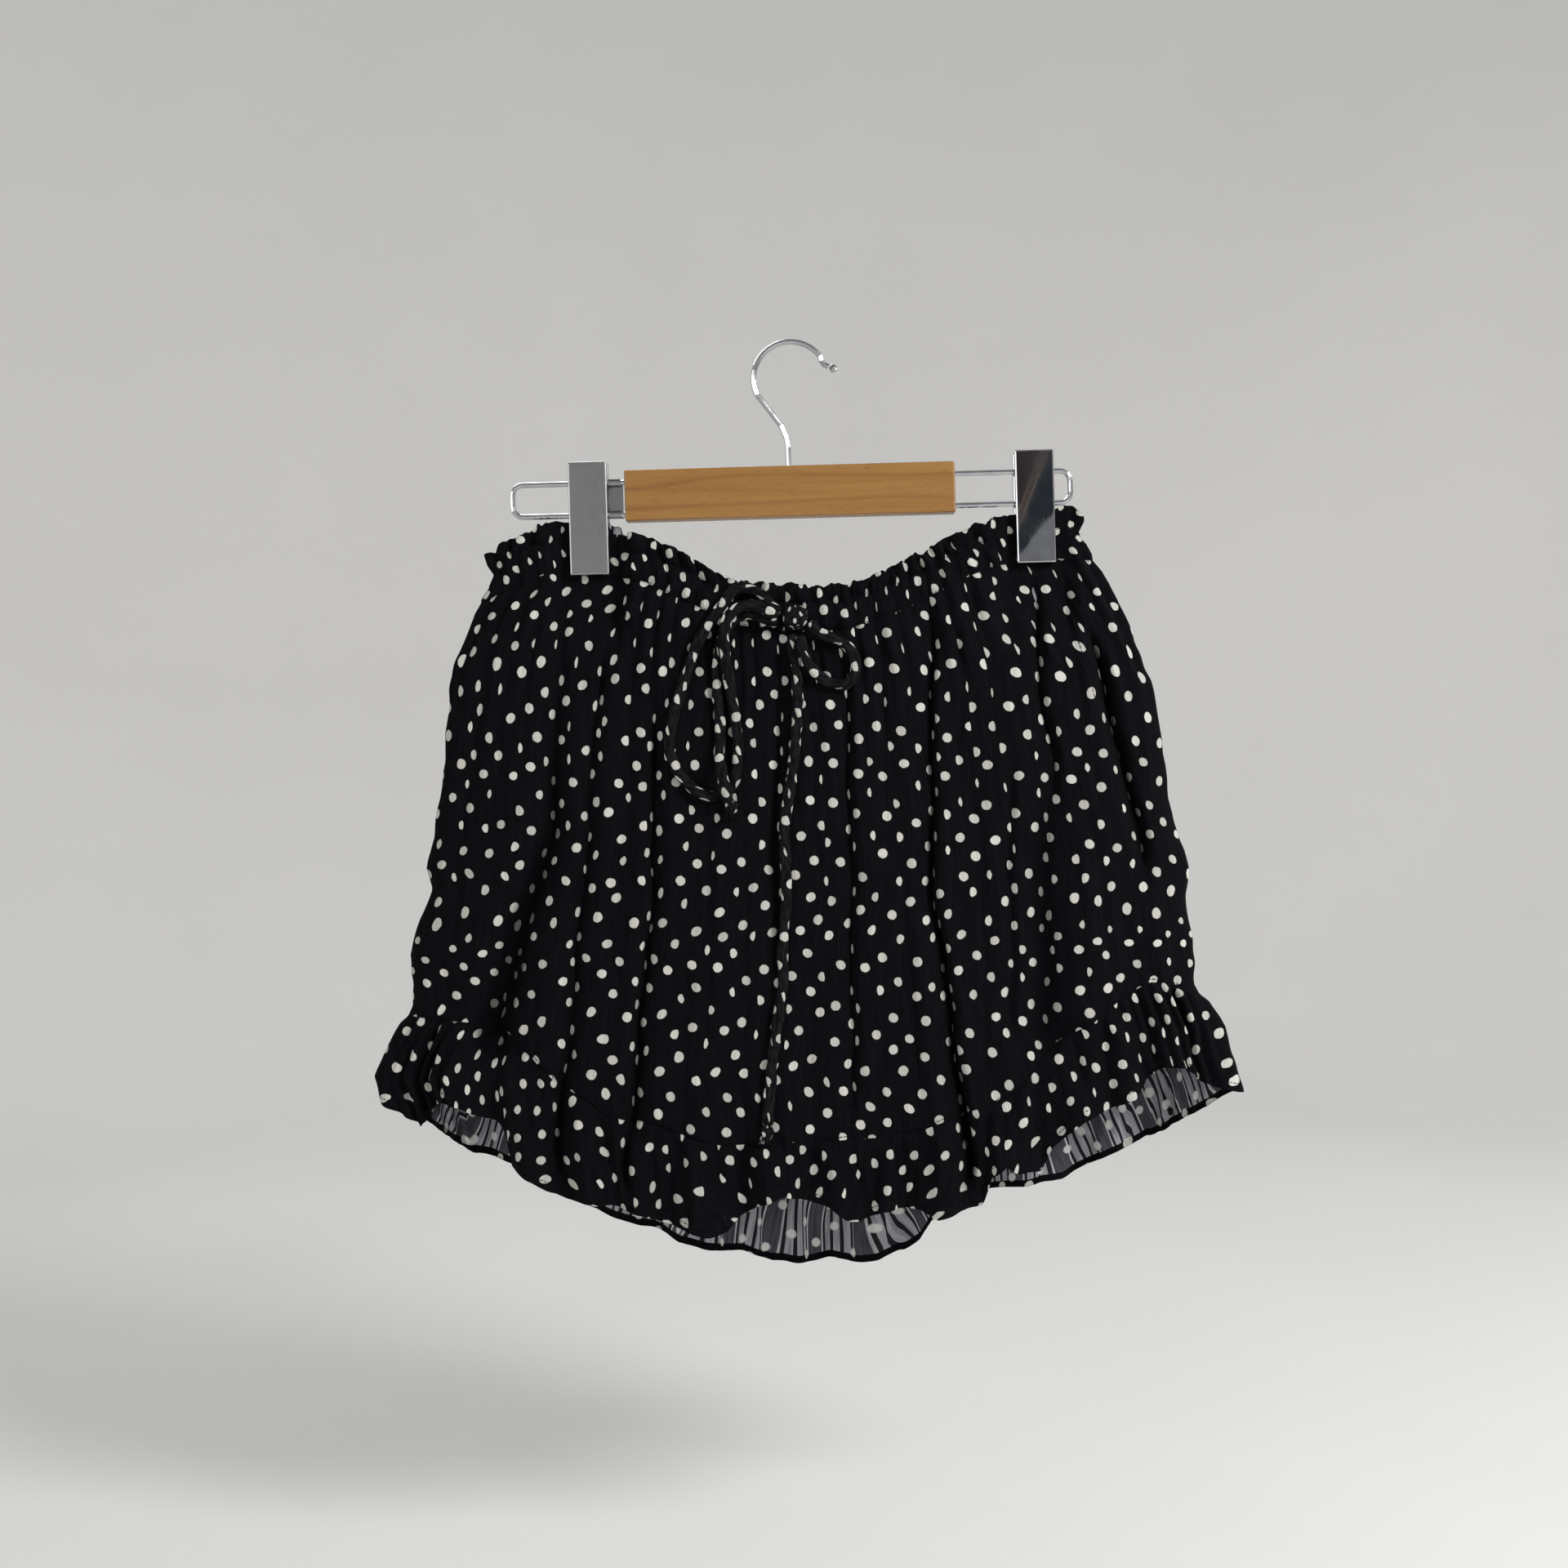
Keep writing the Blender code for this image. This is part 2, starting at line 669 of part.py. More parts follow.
def laid_cord(rows, resting, radius):
    """A cord's centreline on the cloth, from rows of x, z and lift."""
    path = smooth_path(rows, 1.2 * radius)
    floor = np.array([resting.front(x, z, radius + 1.6) for x, z, _ in path])
    padded = np.pad(floor, 4, mode="edge")
    lowest = np.array([padded[i : i + 9].min() for i in range(len(floor))])
    padded = np.pad(lowest, 4, mode="edge")
    eased = np.array([padded[i : i + 9].mean() for i in range(len(floor))])
    y = eased - radius - 0.3 - path[:, 2]
    padded = np.pad(y, 3, mode="edge")
    y = np.array([padded[i : i + 7].min() for i in range(len(y))])
    kept = np.unique(np.round(np.linspace(0, len(y) - 1, max(3, len(y) // 3 + 1))).astype(int))
    return np.stack([path[:, 0], y, path[:, 1]], axis=1)[kept]


def add_tube(name, path, radius, look, resolution=2):
    """A round wire or cord along a path in millimetres."""
    curve = bpy.data.curves.new(name, "CURVE")
    curve.dimensions = "3D"
    curve.bevel_depth = radius * MM
    curve.bevel_resolution = resolution
    curve.use_fill_caps = True
    line = curve.splines.new("POLY")
    line.points.add(len(path) - 1)
    for point, place in zip(line.points, path):
        point.co = (*(Vector(place) * MM), 1.0)
    line.use_smooth = True
    curve.materials.append(look)
    made = bpy.data.objects.new(name, curve)
    bpy.context.scene.collection.objects.link(made)
    return made


def add_ball(name, centre, size, look, rings=(12, 8)):
    """A rounded lump with the given full sizes."""
    around, up = rings
    points = [(centre[0], centre[1], centre[2] + size[2] / 2.0)]
    for i in range(1, up):
        tilt = math.pi * i / up
        for j in range(around):
            turn = 2.0 * math.pi * j / around
            ring = math.sin(tilt) / 2.0
            x = centre[0] + size[0] * ring * math.cos(turn)
            y = centre[1] + size[1] * ring * math.sin(turn)
            points.append((x, y, centre[2] + size[2] / 2.0 * math.cos(tilt)))
    points.append((centre[0], centre[1], centre[2] - size[2] / 2.0))
    last = len(points) - 1
    faces = []
    for j in range(around):
        k = (j + 1) % around
        faces.append((0, 1 + j, 1 + k))
        faces.append((last, last - around + k, last - around + j))
        for i in range(up - 2):
            low = 1 + i * around
            faces.append((low + j, low + around + j, low + around + k, low + k))
    return add_mesh(name, points, faces, look)


def add_box(name, low, high, look=None, bevel=0.0):
    """A box between two corners, with its edges rounded."""
    corners = [(x, y, z) for x in (low[0], high[0]) for y in (low[1], high[1]) for z in (low[2], high[2])]
    sides = ((0, 1, 3, 2), (4, 6, 7, 5), (0, 4, 5, 1), (2, 3, 7, 6), (0, 2, 6, 4), (1, 5, 7, 3))
    made = add_mesh(name, corners, sides, look or bpy.data.materials["steel"], smooth=False)
    if bevel:
        rounding = made.modifiers.new("edges", "BEVEL")
        rounding.width = bevel * MM
        rounding.segments = 2
    return made


def add_rod(name, start, end, radius, look=None, sides=16):
    """A cylinder between two points."""
    start, end = Vector(start), Vector(end)
    axis = (end - start).normalized()
    across = axis.orthogonal().normalized()
    up = axis.cross(across)
    points = []
    for centre in (start, end):
        for j in range(sides):
            turn = 2.0 * math.pi * j / sides
            points.append(centre + radius * (math.cos(turn) * across + math.sin(turn) * up))
    faces = [tuple(range(sides)), tuple(range(sides, 2 * sides))]
    for j in range(sides):
        k = (j + 1) % sides
        faces.append((j, k, sides + k, sides + j))
    return add_mesh(name, points, faces, look or bpy.data.materials["steel"])


def join_with(target, other, operation):
    """Adds or removes a helper shape, which stays out of the model."""
    change = target.modifiers.new(other.name, "BOOLEAN")
    change.operation = operation
    change.solver = "EXACT"
    change.object = other
    other.hide_render = True
    other.display_type = "WIRE"


def arc(centre, radius, start, end, steps):
    """Points on an arc in the hanger's plane, by angles in degrees from +X towards +Z."""
    turns = [math.radians(start + (end - start) * i / steps) for i in range(steps + 1)]
    return [(centre[0] + radius * math.cos(t), 0.0, centre[1] + radius * math.sin(t)) for t in turns]


def wire_loop(inner_x, outer_x):
    """One end of the wire frame: out along the top, round the end and back below."""
    way = math.copysign(1.0, outer_x - inner_x)
    bend_x = outer_x - way * WIRE_BEND
    upper = arc((bend_x, WIRE_TOP - WIRE_BEND), WIRE_BEND, 90.0, 90.0 - way * 90.0, 4)
    lower = arc((bend_x, WIRE_LOW + WIRE_BEND), WIRE_BEND, 90.0 - way * 90.0, 90.0 - way * 180.0, 4)
    return [(inner_x, 0.0, WIRE_TOP), *upper, *lower, (inner_x, 0.0, WIRE_LOW)]


def build_bar(look, steel):
    """The wooden bar with blind holes for the wires and the hook."""
    bar = add_box(
        "hanger_bar", (BAR_X0, -BAR_DEPTH / 2, BAR_Z0), (BAR_X1, BAR_DEPTH / 2, BAR_Z1), look, 1.2
    )
    for z in (WIRE_TOP, WIRE_LOW):
        for end, inside in ((BAR_X0 - 2, BAR_X0 + 16), (BAR_X1 + 2, BAR_X1 - 16)):
            hole = add_rod(f"hole_{z}_{end}", (end, 0, z), (inside, 0, z), WIRE_R + 0.3)
            join_with(bar, hole, "DIFFERENCE")
    socket = add_rod("socket", (-3.4, 0, BAR_Z1 + 2), (-3.4, 0, BAR_Z1 - 16), HOOK_WIRE_R + 0.3)
    join_with(bar, socket, "DIFFERENCE")
    add_tube("hanger_wire_left", wire_loop(BAR_X0 + 15, WIRE_LEFT), WIRE_R, steel)
    add_tube("hanger_wire_right", wire_loop(BAR_X1 - 15, WIRE_RIGHT), WIRE_R, steel)


def build_hook(steel):
    """The hook's wire, from its stem in the bar round to its ball tip."""
    centre = (-0.6, HOOK_WIRE_R - HOOK_R)
    bow = arc(centre, HOOK_R, 204.0, 36.0, 22)
    stem = [(-3.4, 0, BAR_Z1 - 15), (-3.4, 0, -66.0), (-4.3, 0, -60.0), (-7.6, 0, -52.0)]
    tip = [(19.4, 0, -11.0), (21.4, 0, -13.7), (24.0, 0, -14.9)]
    add_tube("hanger_hook", [*stem, *bow, *tip], HOOK_WIRE_R, steel)
    add_ball("hanger_hook_tip", (27.1, 0, -16.3), (5.2, 5.2, 5.2), steel, (12, 8))


def jaw(name, x, side, near, steel):
    """A clip's jaw: a shallow tray, open towards the cloth."""
    low, high = sorted((side * near, side * (near + CLIP_DEEP)))
    bottom = CLIP_TOP - CLIP_H
    tray = add_box(name, (x - CLIP_W / 2, low, bottom), (x + CLIP_W / 2, high, CLIP_TOP), steel, 1.0)
    low, high = sorted((side * (near - 2.0), side * (near + CLIP_DEEP - 1.0)))
    inside = (x - CLIP_W / 2 + 1, low, bottom + 1), (x + CLIP_W / 2 - 1, high, CLIP_TOP - 1)
    join_with(tray, add_box(f"{name}_inside", *inside), "DIFFERENCE")
    return tray


def build_clip(label, x, slide_out, steel):
    """A clip: two jaws, the slider that carries them on the wires, and the pin with its spring."""
    middle = (WIRE_TOP + WIRE_LOW) / 2.0
    front = jaw(f"clip_{label}_front", x, -1, 2.8, steel)
    for way in (-1, 1):
        low, high = sorted((way * 10.6, way * 11.8))
        ear = add_box(f"ear_{label}_{way}", (x + low, -7.4, middle - 4), (x + high, 1.7, middle + 4))
        join_with(front, ear, "UNION")
    jaw(f"clip_{label}_rear", x, 1, 3.15, steel)
    edge = x + CLIP_W / 2 + slide_out
    plate = add_box(
        f"clip_{label}_slider", (x - 9.0, 2.1, WIRE_LOW - 2.3), (edge, 2.85, WIRE_TOP + 2.3), steel
    )
    for z in (WIRE_TOP, WIRE_LOW):
        sleeve = add_rod(f"sleeve_{label}_{z}", (edge - 9.5, 0, z), (edge - 1.5, 0, z), 2.55)
        join_with(plate, sleeve, "UNION")
    window = add_box(f"window_{label}", (x - 7.5, 1.5, middle - 7), (x + 7.5, 3.5, middle + 7))
    join_with(plate, window, "DIFFERENCE")
    for z in (WIRE_TOP, WIRE_LOW):
        bore = add_rod(f"bore_{label}_{z}", (x - 20, 0, z), (edge + 5, 0, z), WIRE_R + 0.3)
        join_with(plate, bore, "DIFFERENCE")
    add_rod(f"clip_{label}_pin", (x - 10.3, 0, middle), (x + 10.3, 0, middle), 1.5, steel, 12)
    coil = []
    steps = 8
    count = 3 * steps + steps // 2
    for i in range(count + 1):
        turn = 2.0 * math.pi * i / steps
        along = x - 5.0 + 10.0 * i / count
        coil.append((along, -2.5 * math.cos(turn), middle + 2.5 * math.sin(turn)))
    coil.insert(0, (x - 5.0, -6.0, middle - 14.0))
    coil.append((x + 5.0, 6.2, middle - 9.0))
    add_tube(f"clip_{label}_spring", coil, 0.6, steel, 1)


def build_tie(resting, look):
    """The bow: two loops, two tails, the knot and the tails' end knots."""
    knot_y = resting.front(KNOT_X, KNOT_Z, 10.0) - 0.3 - KNOT_SIZE[1] / 2.0
    add_ball("tie_knot", (KNOT_X, knot_y, KNOT_Z), KNOT_SIZE, look, (16, 10))
    for name, rows in (
        ("tie_loop_left", LOOP_LEFT),
        ("tie_tail_short", TAIL_SHORT),
        ("tie_loop_right", LOOP_RIGHT),
        ("tie_tail_long", TAIL_LONG),
    ):
        path = laid_cord(rows, resting, TIE_R)
        add_tube(name, path.tolist(), TIE_R, look)
        if name.startswith("tie_tail"):
            x, y, z = path[-1] + (path[-1] - path[-2]) / np.linalg.norm(path[-1] - path[-2]) * 5.0
            add_ball(name.replace("tail", "end"), (x, y, z), (8.4, 8.0, 9.0), look, (12, 8))


def main():
    for old in list(bpy.data.objects):
        bpy.data.objects.remove(old)
    steel = material("steel", (0.78, 0.78, 0.78), 0.18, 1.0)
    wood = material("beech", (0.46, 0.25, 0.09), 0.5)
    fabric = material("dark_cotton", (0.012, 0.012, 0.018), 0.9)
    strip = material("dark_cotton_casing", (0.013, 0.013, 0.019), 0.9)
    frill = material("dark_cotton_ruffle", (0.011, 0.011, 0.017), 0.9)
    cord = material("dark_cotton_tie", (0.014, 0.014, 0.02), 0.9)
    for side, label, columns, gathers, ruffles in (
        (FRONT, "front", 86, GATHERS_FRONT, RUFFLES_FRONT),
        (BACK, "back", 58, GATHERS_BACK, RUFFLES_BACK),
    ):
        waist, body, ruffle = panels(side, columns, gathers, ruffles)
        add_wall(f"waist_{label}", waist, strip)
        add_wall(f"skirt_{label}", body, fabric)
        add_wall(f"ruffle_{label}", ruffle, frill)
        if side == FRONT:
            resting = Resting((waist, body, ruffle))
    build_tie(resting, cord)
    build_bar(wood, steel)
    build_hook(steel)
    build_clip("left", CLIP_LEFT_X, 9.5, steel)
    build_clip("right", CLIP_RIGHT_X, -0.5, steel)


main()
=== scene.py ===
"""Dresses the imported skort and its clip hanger: dotted cotton, drawstring, beech bar and steel clips.

The garment's front faces -Y and up is +Z. The origin is the inside top of the hook. Tables are in mm.
"""

import logging
import math
from dataclasses import dataclass, field
from enum import Enum

import bpy
import numpy as np
from mathutils import Matrix, Vector


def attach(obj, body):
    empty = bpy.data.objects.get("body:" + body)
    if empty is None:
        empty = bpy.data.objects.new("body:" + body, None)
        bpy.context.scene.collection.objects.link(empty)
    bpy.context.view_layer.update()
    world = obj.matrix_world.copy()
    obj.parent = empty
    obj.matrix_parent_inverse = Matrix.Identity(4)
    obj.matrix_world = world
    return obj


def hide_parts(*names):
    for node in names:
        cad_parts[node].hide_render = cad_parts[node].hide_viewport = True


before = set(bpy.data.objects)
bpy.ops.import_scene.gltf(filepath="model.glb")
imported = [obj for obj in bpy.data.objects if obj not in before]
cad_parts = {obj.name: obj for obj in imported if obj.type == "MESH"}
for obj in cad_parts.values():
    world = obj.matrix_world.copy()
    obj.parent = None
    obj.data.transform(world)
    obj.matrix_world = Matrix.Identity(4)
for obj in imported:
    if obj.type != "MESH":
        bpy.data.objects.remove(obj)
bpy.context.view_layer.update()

LOG = logging.getLogger("skort")
MM = 0.001
Array = np.ndarray
Socket = bpy.types.NodeSocket
Node = bpy.types.Node
Tree = bpy.types.NodeTree
Material = bpy.types.Material

# Drop below the top edge of the casing's upper and lower stitch row, on a casing of even depth
HEADER_DROP = 12.0
CASING_DROP = 30.0

# Where the ruffle's and the back's print are taken from on the flat cloth
RUFFLE_PRINT_DOWN = 800.0
BACK_PRINT_ACROSS = 900.0

# Girth by height: z, left edge, right edge, depth of the front and of the back in front of and behind y = 0
SECTIONS = (
    # z,     left,   right,  front, back
    (-100, -194.0, 179.0, 7.0, 7.0),
    (-118, -197.0, 182.5, 8.0, 8.0),
    (-130, -197.0, 181.5, 10.0, 10.0),
    (-144, -194.5, 190.0, 12.0, 12.0),
    (-152, -195.5, 194.5, 13.0, 13.0),
    (-160, -203.0, 198.5, 15.0, 15.0),
    (-173, -209.0, 203.5, 17.0, 17.0),
    (-188, -216.0, 210.5, 19.0, 19.0),
    (-204, -221.0, 218.0, 21.0, 21.0),
    (-222, -225.0, 224.0, 22.5, 23.0),
    (-244, -229.5, 227.0, 24.0, 25.0),
    (-264, -230.5, 229.5, 25.0, 27.0),
    (-288, -233.5, 233.5, 26.0, 29.0),
    (-312, -236.0, 238.5, 27.0, 30.0),
    (-331, -243.0, 243.0, 28.0, 31.0),
    (-344, -241.0, 244.5, 29.0, 32.0),
    (-360, -245.0, 245.0, 30.0, 33.0),
    (-386, -254.5, 247.0, 31.0, 34.0),
    (-404, -253.0, 248.5, 32.0, 35.0),
    (-418, -252.0, 249.0, 32.5, 36.0),
    (-430, -258.0, 255.0, 33.0, 36.5),
    (-446, -266.5, 262.0, 33.5, 37.0),
    (-463, -274.0, 264.5, 34.0, 38.0),
    (-478, -270.0, 268.5, 34.0, 38.0),
    (-492, -268.0, 270.5, 34.5, 38.5),
    (-530, -262.0, 268.0, 35.5, 40.0),
    (-605, -256.0, 262.0, 37.0, 42.0),
)

# Heights along the width: x, z
TOP_EDGE = (
    (-196, -131.0), (-191, -126.0), (-185, -121.5), (-171, -116.0), (-160, -111.5),
    (-151, -110.5), (-144, -111.0), (-120, -113.0), (-117, -119.5), (-97, -120.8),
    (-83, -128.0), (-69, -135.5), (-56, -145.0), (-40, -151.5), (-16, -154.5),
    (4, -157.3), (28, -156.5), (42, -153.3), (56, -148.5), (66, -141.8),
    (80, -138.5), (88, -132.5), (102, -124.8), (114, -119.8), (121, -121.5),
    (125, -115.5), (141, -113.5), (166, -111.5), (171, -108.3), (178, -108.3),
    (182, -113.0),
)
CASING_LINE = (
    (-196, -161.0), (-171, -147.0), (-151, -142.0), (-120, -145.5), (-97, -151.5),
    (-69, -165.5), (-40, -180.5), (0, -186.5), (28, -186.0), (56, -178.5),
    (80, -168.0), (102, -156.0), (125, -147.5), (141, -144.0), (166, -142.5),
    (182, -144.5),
)
SEAM_FRONT = (
    (-250, -424.0), (-202, -430.0), (-190, -437.0), (-178, -447.0), (-166, -458.5),
    (-156, -468.0), (-142, -476.5), (-131, -486.5), (-115, -491.0), (-100, -493.0),
    (-75, -503.5), (-57, -508.0), (-28, -507.0), (11, -507.0), (44, -505.5),
    (69, -501.5), (90, -492.5), (116, -487.0), (133, -475.0), (147, -459.0),
    (161, -447.0), (178, -438.0), (192, -427.0), (216, -414.5), (228, -415.5),
    (249, -424.0),
)
HEM_FRONT = (
    (-272, -480.0), (-250, -494.0), (-236, -476.0), (-219, -483.0), (-199, -490.5),
    (-193, -499.0), (-190, -517.0), (-180, -525.0), (-168, -533.4), (-155, -539.3),
    (-121, -545.0), (-103, -552.0), (-77, -562.0), (-66, -563.6), (-54, -560.5),
    (-47, -553.0), (-36, -545.5), (-20, -540.5), (-8, -542.3), (10, -548.5),
    (21, -556.5), (28, -558.0), (43, -552.0), (66, -550.0), (76, -556.5),
    (93, -553.0), (106, -549.0), (111, -532.0), (120, -525.5), (128, -531.0),
    (144, -530.0), (151, -516.5), (160, -507.5), (171, -498.3), (187, -493.0),
    (203, -486.5), (212, -476.0), (223, -467.0), (235, -468.5), (251, -480.0),
    (264, -485.5), (269, -488.0),
)
SEAM_BACK = (
    (-250, -424.0), (-215, -452.0), (-160, -488.0), (-100, -513.0), (-40, -534.0),
    (30, -538.0), (80, -524.0), (120, -500.0), (165, -486.0), (205, -466.0),
    (249, -424.0),
)
HEM_BACK = (
    (-272, -480.0), (-240, -505.0), (-221, -519.0), (-208, -523.0), (-147, -561.0),
    (-134, -566.3), (-98, -578.5), (-90, -584.5), (-74, -589.5), (-58, -590.0),
    (-41, -595.4), (-28, -599.5), (10, -600.0), (25, -601.6), (42, -600.5),
    (60, -595.0), (70, -587.0), (78, -575.0), (116, -556.0), (153, -550.0),
    (165, -549.0), (175, -543.2), (188, -536.5), (207, -528.4), (224, -521.0),
    (242, -509.0), (258, -500.0), (269, -488.0),
)

# By drop below the top edge: outward swell and depth of the small gathers
WAIST_PROFILE = (
    # drop, swell, gather
    (0, 1.2, 2.6),
    (6, 0.8, 2.3),
    (12, -1.0, 0.9),
    (20, 1.4, 1.2),
    (26, 0.9, 1.1),
    (30, -0.8, 0.8),
    (37, 0.4, 1.5),
    (50, 0.2, 1.8),
    (75, 0.0, 1.2),
    (120, 0.0, 0.4),
    (190, 0.0, 0.0),
    (500, 0.0, 0.0),
)

# By share of the ruffle's drop: depth of the gathers at the seam and of the flutes at the hem
RUFFLE_PROFILE = (
    # share, gather, flute
    (0.0, 1.1, 0.6),
    (0.25, 1.7, 2.2),
    (0.6, 1.0, 3.8),
    (1.0, 0.4, 5.2),
)

# Valleys: x and z of head, middle and foot, depth at head and foot, half-width at head and foot, overlap
FOLDS_FRONT = (
    # xh,    zh,    xm,    zm,    xf,    zf,   dh,  df,  wh,  wf,  lap
    (-150.0, -170, -161.0, -310, -202.0, -432, 3.0, 16.0, 5.0, 17.0, 0.0),
    (-196.0, -180, -212.0, -270, -226.0, -340, 2.5, 4.0, 6.0, 8.0, 0.0),
    (-124.0, -190, -138.0, -345, -157.0, -508, 5.0, 8.5, 4.5, 8.5, -0.35),
    (-90.0, -215, -93.0, -340, -113.0, -520, 5.0, 9.0, 4.5, 7.0, -0.4),
    (-14.0, -215, -18.0, -300, -19.0, -380, 3.5, 3.0, 4.0, 5.0, 0.4),
    (28.0, -205, 27.0, -340, 24.0, -470, 4.5, 5.0, 4.0, 4.8, 0.4),
    (82.0, -168, 75.0, -350, 92.0, -520, 6.0, 12.0, 4.8, 7.5, 0.5),
    (150.0, -158, 150.0, -225, 157.0, -275, 8.0, 6.0, 5.0, 6.0, 0.4),
    (156.0, -285, 150.0, -350, 151.0, -440, 7.0, 8.0, 17.0, 20.0, 0.0),
    (184.0, -186, 199.0, -255, 214.0, -322, 7.0, 7.0, 4.5, 5.0, 0.5),
    (131.0, -265, 127.0, -350, 126.0, -430, 3.0, 4.0, 5.0, 6.0, 0.4),
)
FOLDS_BACK = (
    # xh,    zh,    xm,    zm,    xf,    zf,   dh,  df,  wh,  wf,  lap
    (-168.0, -175, -182.0, -320, -196.0, -460, 4.0, 10.0, 5.0, 9.0, 0.4),
    (-112.0, -180, -120.0, -340, -131.0, -520, 5.0, 11.0, 4.5, 7.5, 0.4),
    (-62.0, -190, -70.0, -350, -72.0, -540, 4.0, 8.0, 4.5, 7.0, 0.4),
    (-6.0, -195, -4.0, -350, 4.0, -545, 4.5, 9.0, 4.5, 7.5, 0.4),
    (58.0, -190, 62.0, -350, 70.0, -535, 4.0, 9.0, 4.5, 7.0, 0.4),
    (118.0, -175, 122.0, -340, 134.0, -500, 6.0, 12.0, 4.8, 8.0, 0.4),
    (172.0, -180, 184.0, -320, 198.0, -460, 4.0, 9.0, 5.0, 8.0, 0.4),
)

# Cord paths: x, z, lift off the cloth
LOOP_LEFT = (
    (-11.5, -173.5, 2.0), (-17.0, -169.0, 1.0), (-23.0, -162.5, 0.5), (-29.0, -158.5, 0.0),
    (-36.2, -157.8, 0.0), (-43.0, -162.0, 0.0), (-50.5, -172.0, 0.0), (-63.0, -190.5, 0.0),
    (-72.7, -214.8, 0.0), (-80.5, -239.7, 0.0), (-83.0, -256.1, 0.0), (-78.8, -272.6, 0.0),
    (-68.4, -284.2, 0.0), (-57.2, -289.1, 0.0), (-47.4, -286.0, 0.0), (-41.5, -274.1, 0.0),
    (-40.0, -258.7, 0.0), (-41.0, -243.3, 1.0), (-43.2, -225.3, 3.0), (-46.2, -204.7, 6.0),
    (-46.3, -186.7, 7.2), (-42.5, -175.0, 7.2), (-34.5, -170.0, 7.2), (-25.0, -170.5, 7.2),
    (-17.0, -175.0, 7.0), (-13.2, -178.0, 6.0),
)
TAIL_SHORT = (
    (-13.0, -181.5, 0.0), (-19.0, -179.0, 0.0), (-27.0, -176.0, 0.0), (-36.0, -176.0, 0.0),
    (-43.5, -181.0, 0.0), (-48.6, -190.0, 0.0), (-51.6, -204.6, 0.0), (-52.3, -222.5, 0.0),
    (-50.9, -246.7, 0.0), (-51.5, -264.0, 2.0), (-50.5, -276.0, 7.0), (-48.0, -286.5, 8.0),
    (-46.2, -293.0, 4.0),
)
LOOP_RIGHT = (
    (7.5, -181.0, 4.5), (12.5, -187.5, 2.0), (21.3, -191.7, 0.0), (30.5, -197.0, 0.0),
    (35.0, -206.9, 0.0), (33.0, -217.1, 0.0), (25.7, -221.6, 0.0), (15.5, -217.7, 0.0),
    (6.8, -209.2, 4.0), (2.5, -199.0, 7.0), (0.5, -190.0, 7.5),
)
TAIL_LONG = (
    (-4.5, -188.5, 0.0), (-3.0, -200.8, 0.0), (-2.0, -221.3, 0.0), (-2.6, -241.8, 0.0),
    (-4.1, -259.7, 0.0), (-7.8, -284.3, 0.0), (-12.1, -308.3, 0.0), (-12.3, -333.9, 0.0),
    (-12.3, -354.4, 0.0), (-15.2, -385.1, 0.0), (-16.4, -410.8, 0.0), (-21.3, -438.8, 0.0),
    (-25.1, -467.0, 0.0), (-27.2, -487.4, 0.0), (-27.9, -495.0, 1.1),
)

# Lesser creases: x and z of head and foot, depth and half-width
CREASES_FRONT = (
    # xh,    zh,    xf,    zf,   deep, half
    (-165.0, -152, -177.0, -262, 1.7, 3.0),
    (-186.0, -160, -207.0, -246, 1.4, 3.4),
    (-107.0, -166, -109.0, -236, 1.6, 2.6),
    (-71.0, -176, -64.0, -214, 1.3, 2.4),
    (-60.0, -300, -63.0, -438, 1.2, 3.4),
    (-38.0, -318, -42.0, -486, 1.3, 3.0),
    (5.0, -214, 8.0, -338, 1.5, 2.6),
    (52.0, -192, 50.0, -306, 1.4, 2.8),
    (60.0, -330, 67.0, -474, 1.2, 3.2),
    (103.0, -160, 100.0, -262, 1.8, 2.8),
    (111.0, -300, 110.0, -472, 1.5, 3.2),
    (171.0, -164, 178.0, -238, 1.7, 2.8),
    (181.0, -300, 190.0, -404, 1.6, 3.6),
    (-221.0, -350, -238.0, -446, 1.8, 4.0),
    (205.0, -214, 228.0, -336, 1.4, 3.2),
    (-76.0, -440, -82.0, -498, 1.5, 2.8),
    (44.0, -444, 42.0, -500, 1.3, 2.6),
    (-132.0, -372, -139.0, -452, 1.3, 2.6),
    (188.0, -194, 216.0, -338, 8.6, 5.4),
    (-244.0, -392, -214.0, -408, 1.4, 3.0),
)
CREASES_BACK = (
    # xh,    zh,    xf,    zf,   deep, half
    (-190.0, -160, -206.0, -262, 1.6, 3.2),
    (-142.0, -158, -150.0, -286, 1.8, 2.8),
    (-90.0, -162, -94.0, -250, 1.5, 2.6),
    (-36.0, -176, -34.0, -300, 1.7, 2.8),
    (26.0, -180, 30.0, -260, 1.4, 2.6),
    (34.0, -330, 38.0, -506, 1.5, 3.4),
    (88.0, -170, 94.0, -312, 1.7, 3.0),
    (146.0, -160, 154.0, -240, 1.4, 2.8),
    (158.0, -300, 168.0, -448, 1.6, 3.4),
    (-98.0, -330, -104.0, -486, 1.4, 3.2),
    (208.0, -220, 224.0, -380, 1.6, 3.6),
    (-212.0, -300, -232.0, -430, 1.5, 3.8),
)


class Side(Enum):
    """The half of the garment, by the way that it faces along Y."""

    FRONT = -1
    BACK = 1


class Zone(Enum):
    """A strip of the garment between two of its height lines."""

    WAIST = "waist"
    BODY = "skirt"
    RUFFLE = "ruffle"


def column(table: tuple, index: int) -> Array:
    """One named column of a table as an array."""
    return np.array([row[index] for row in table], float)


def ease(t: Array) -> Array:
    """A smooth step from 0 to 1."""
    t = np.clip(t, 0.0, 1.0)
    return t * t * (3.0 - 2.0 * t)


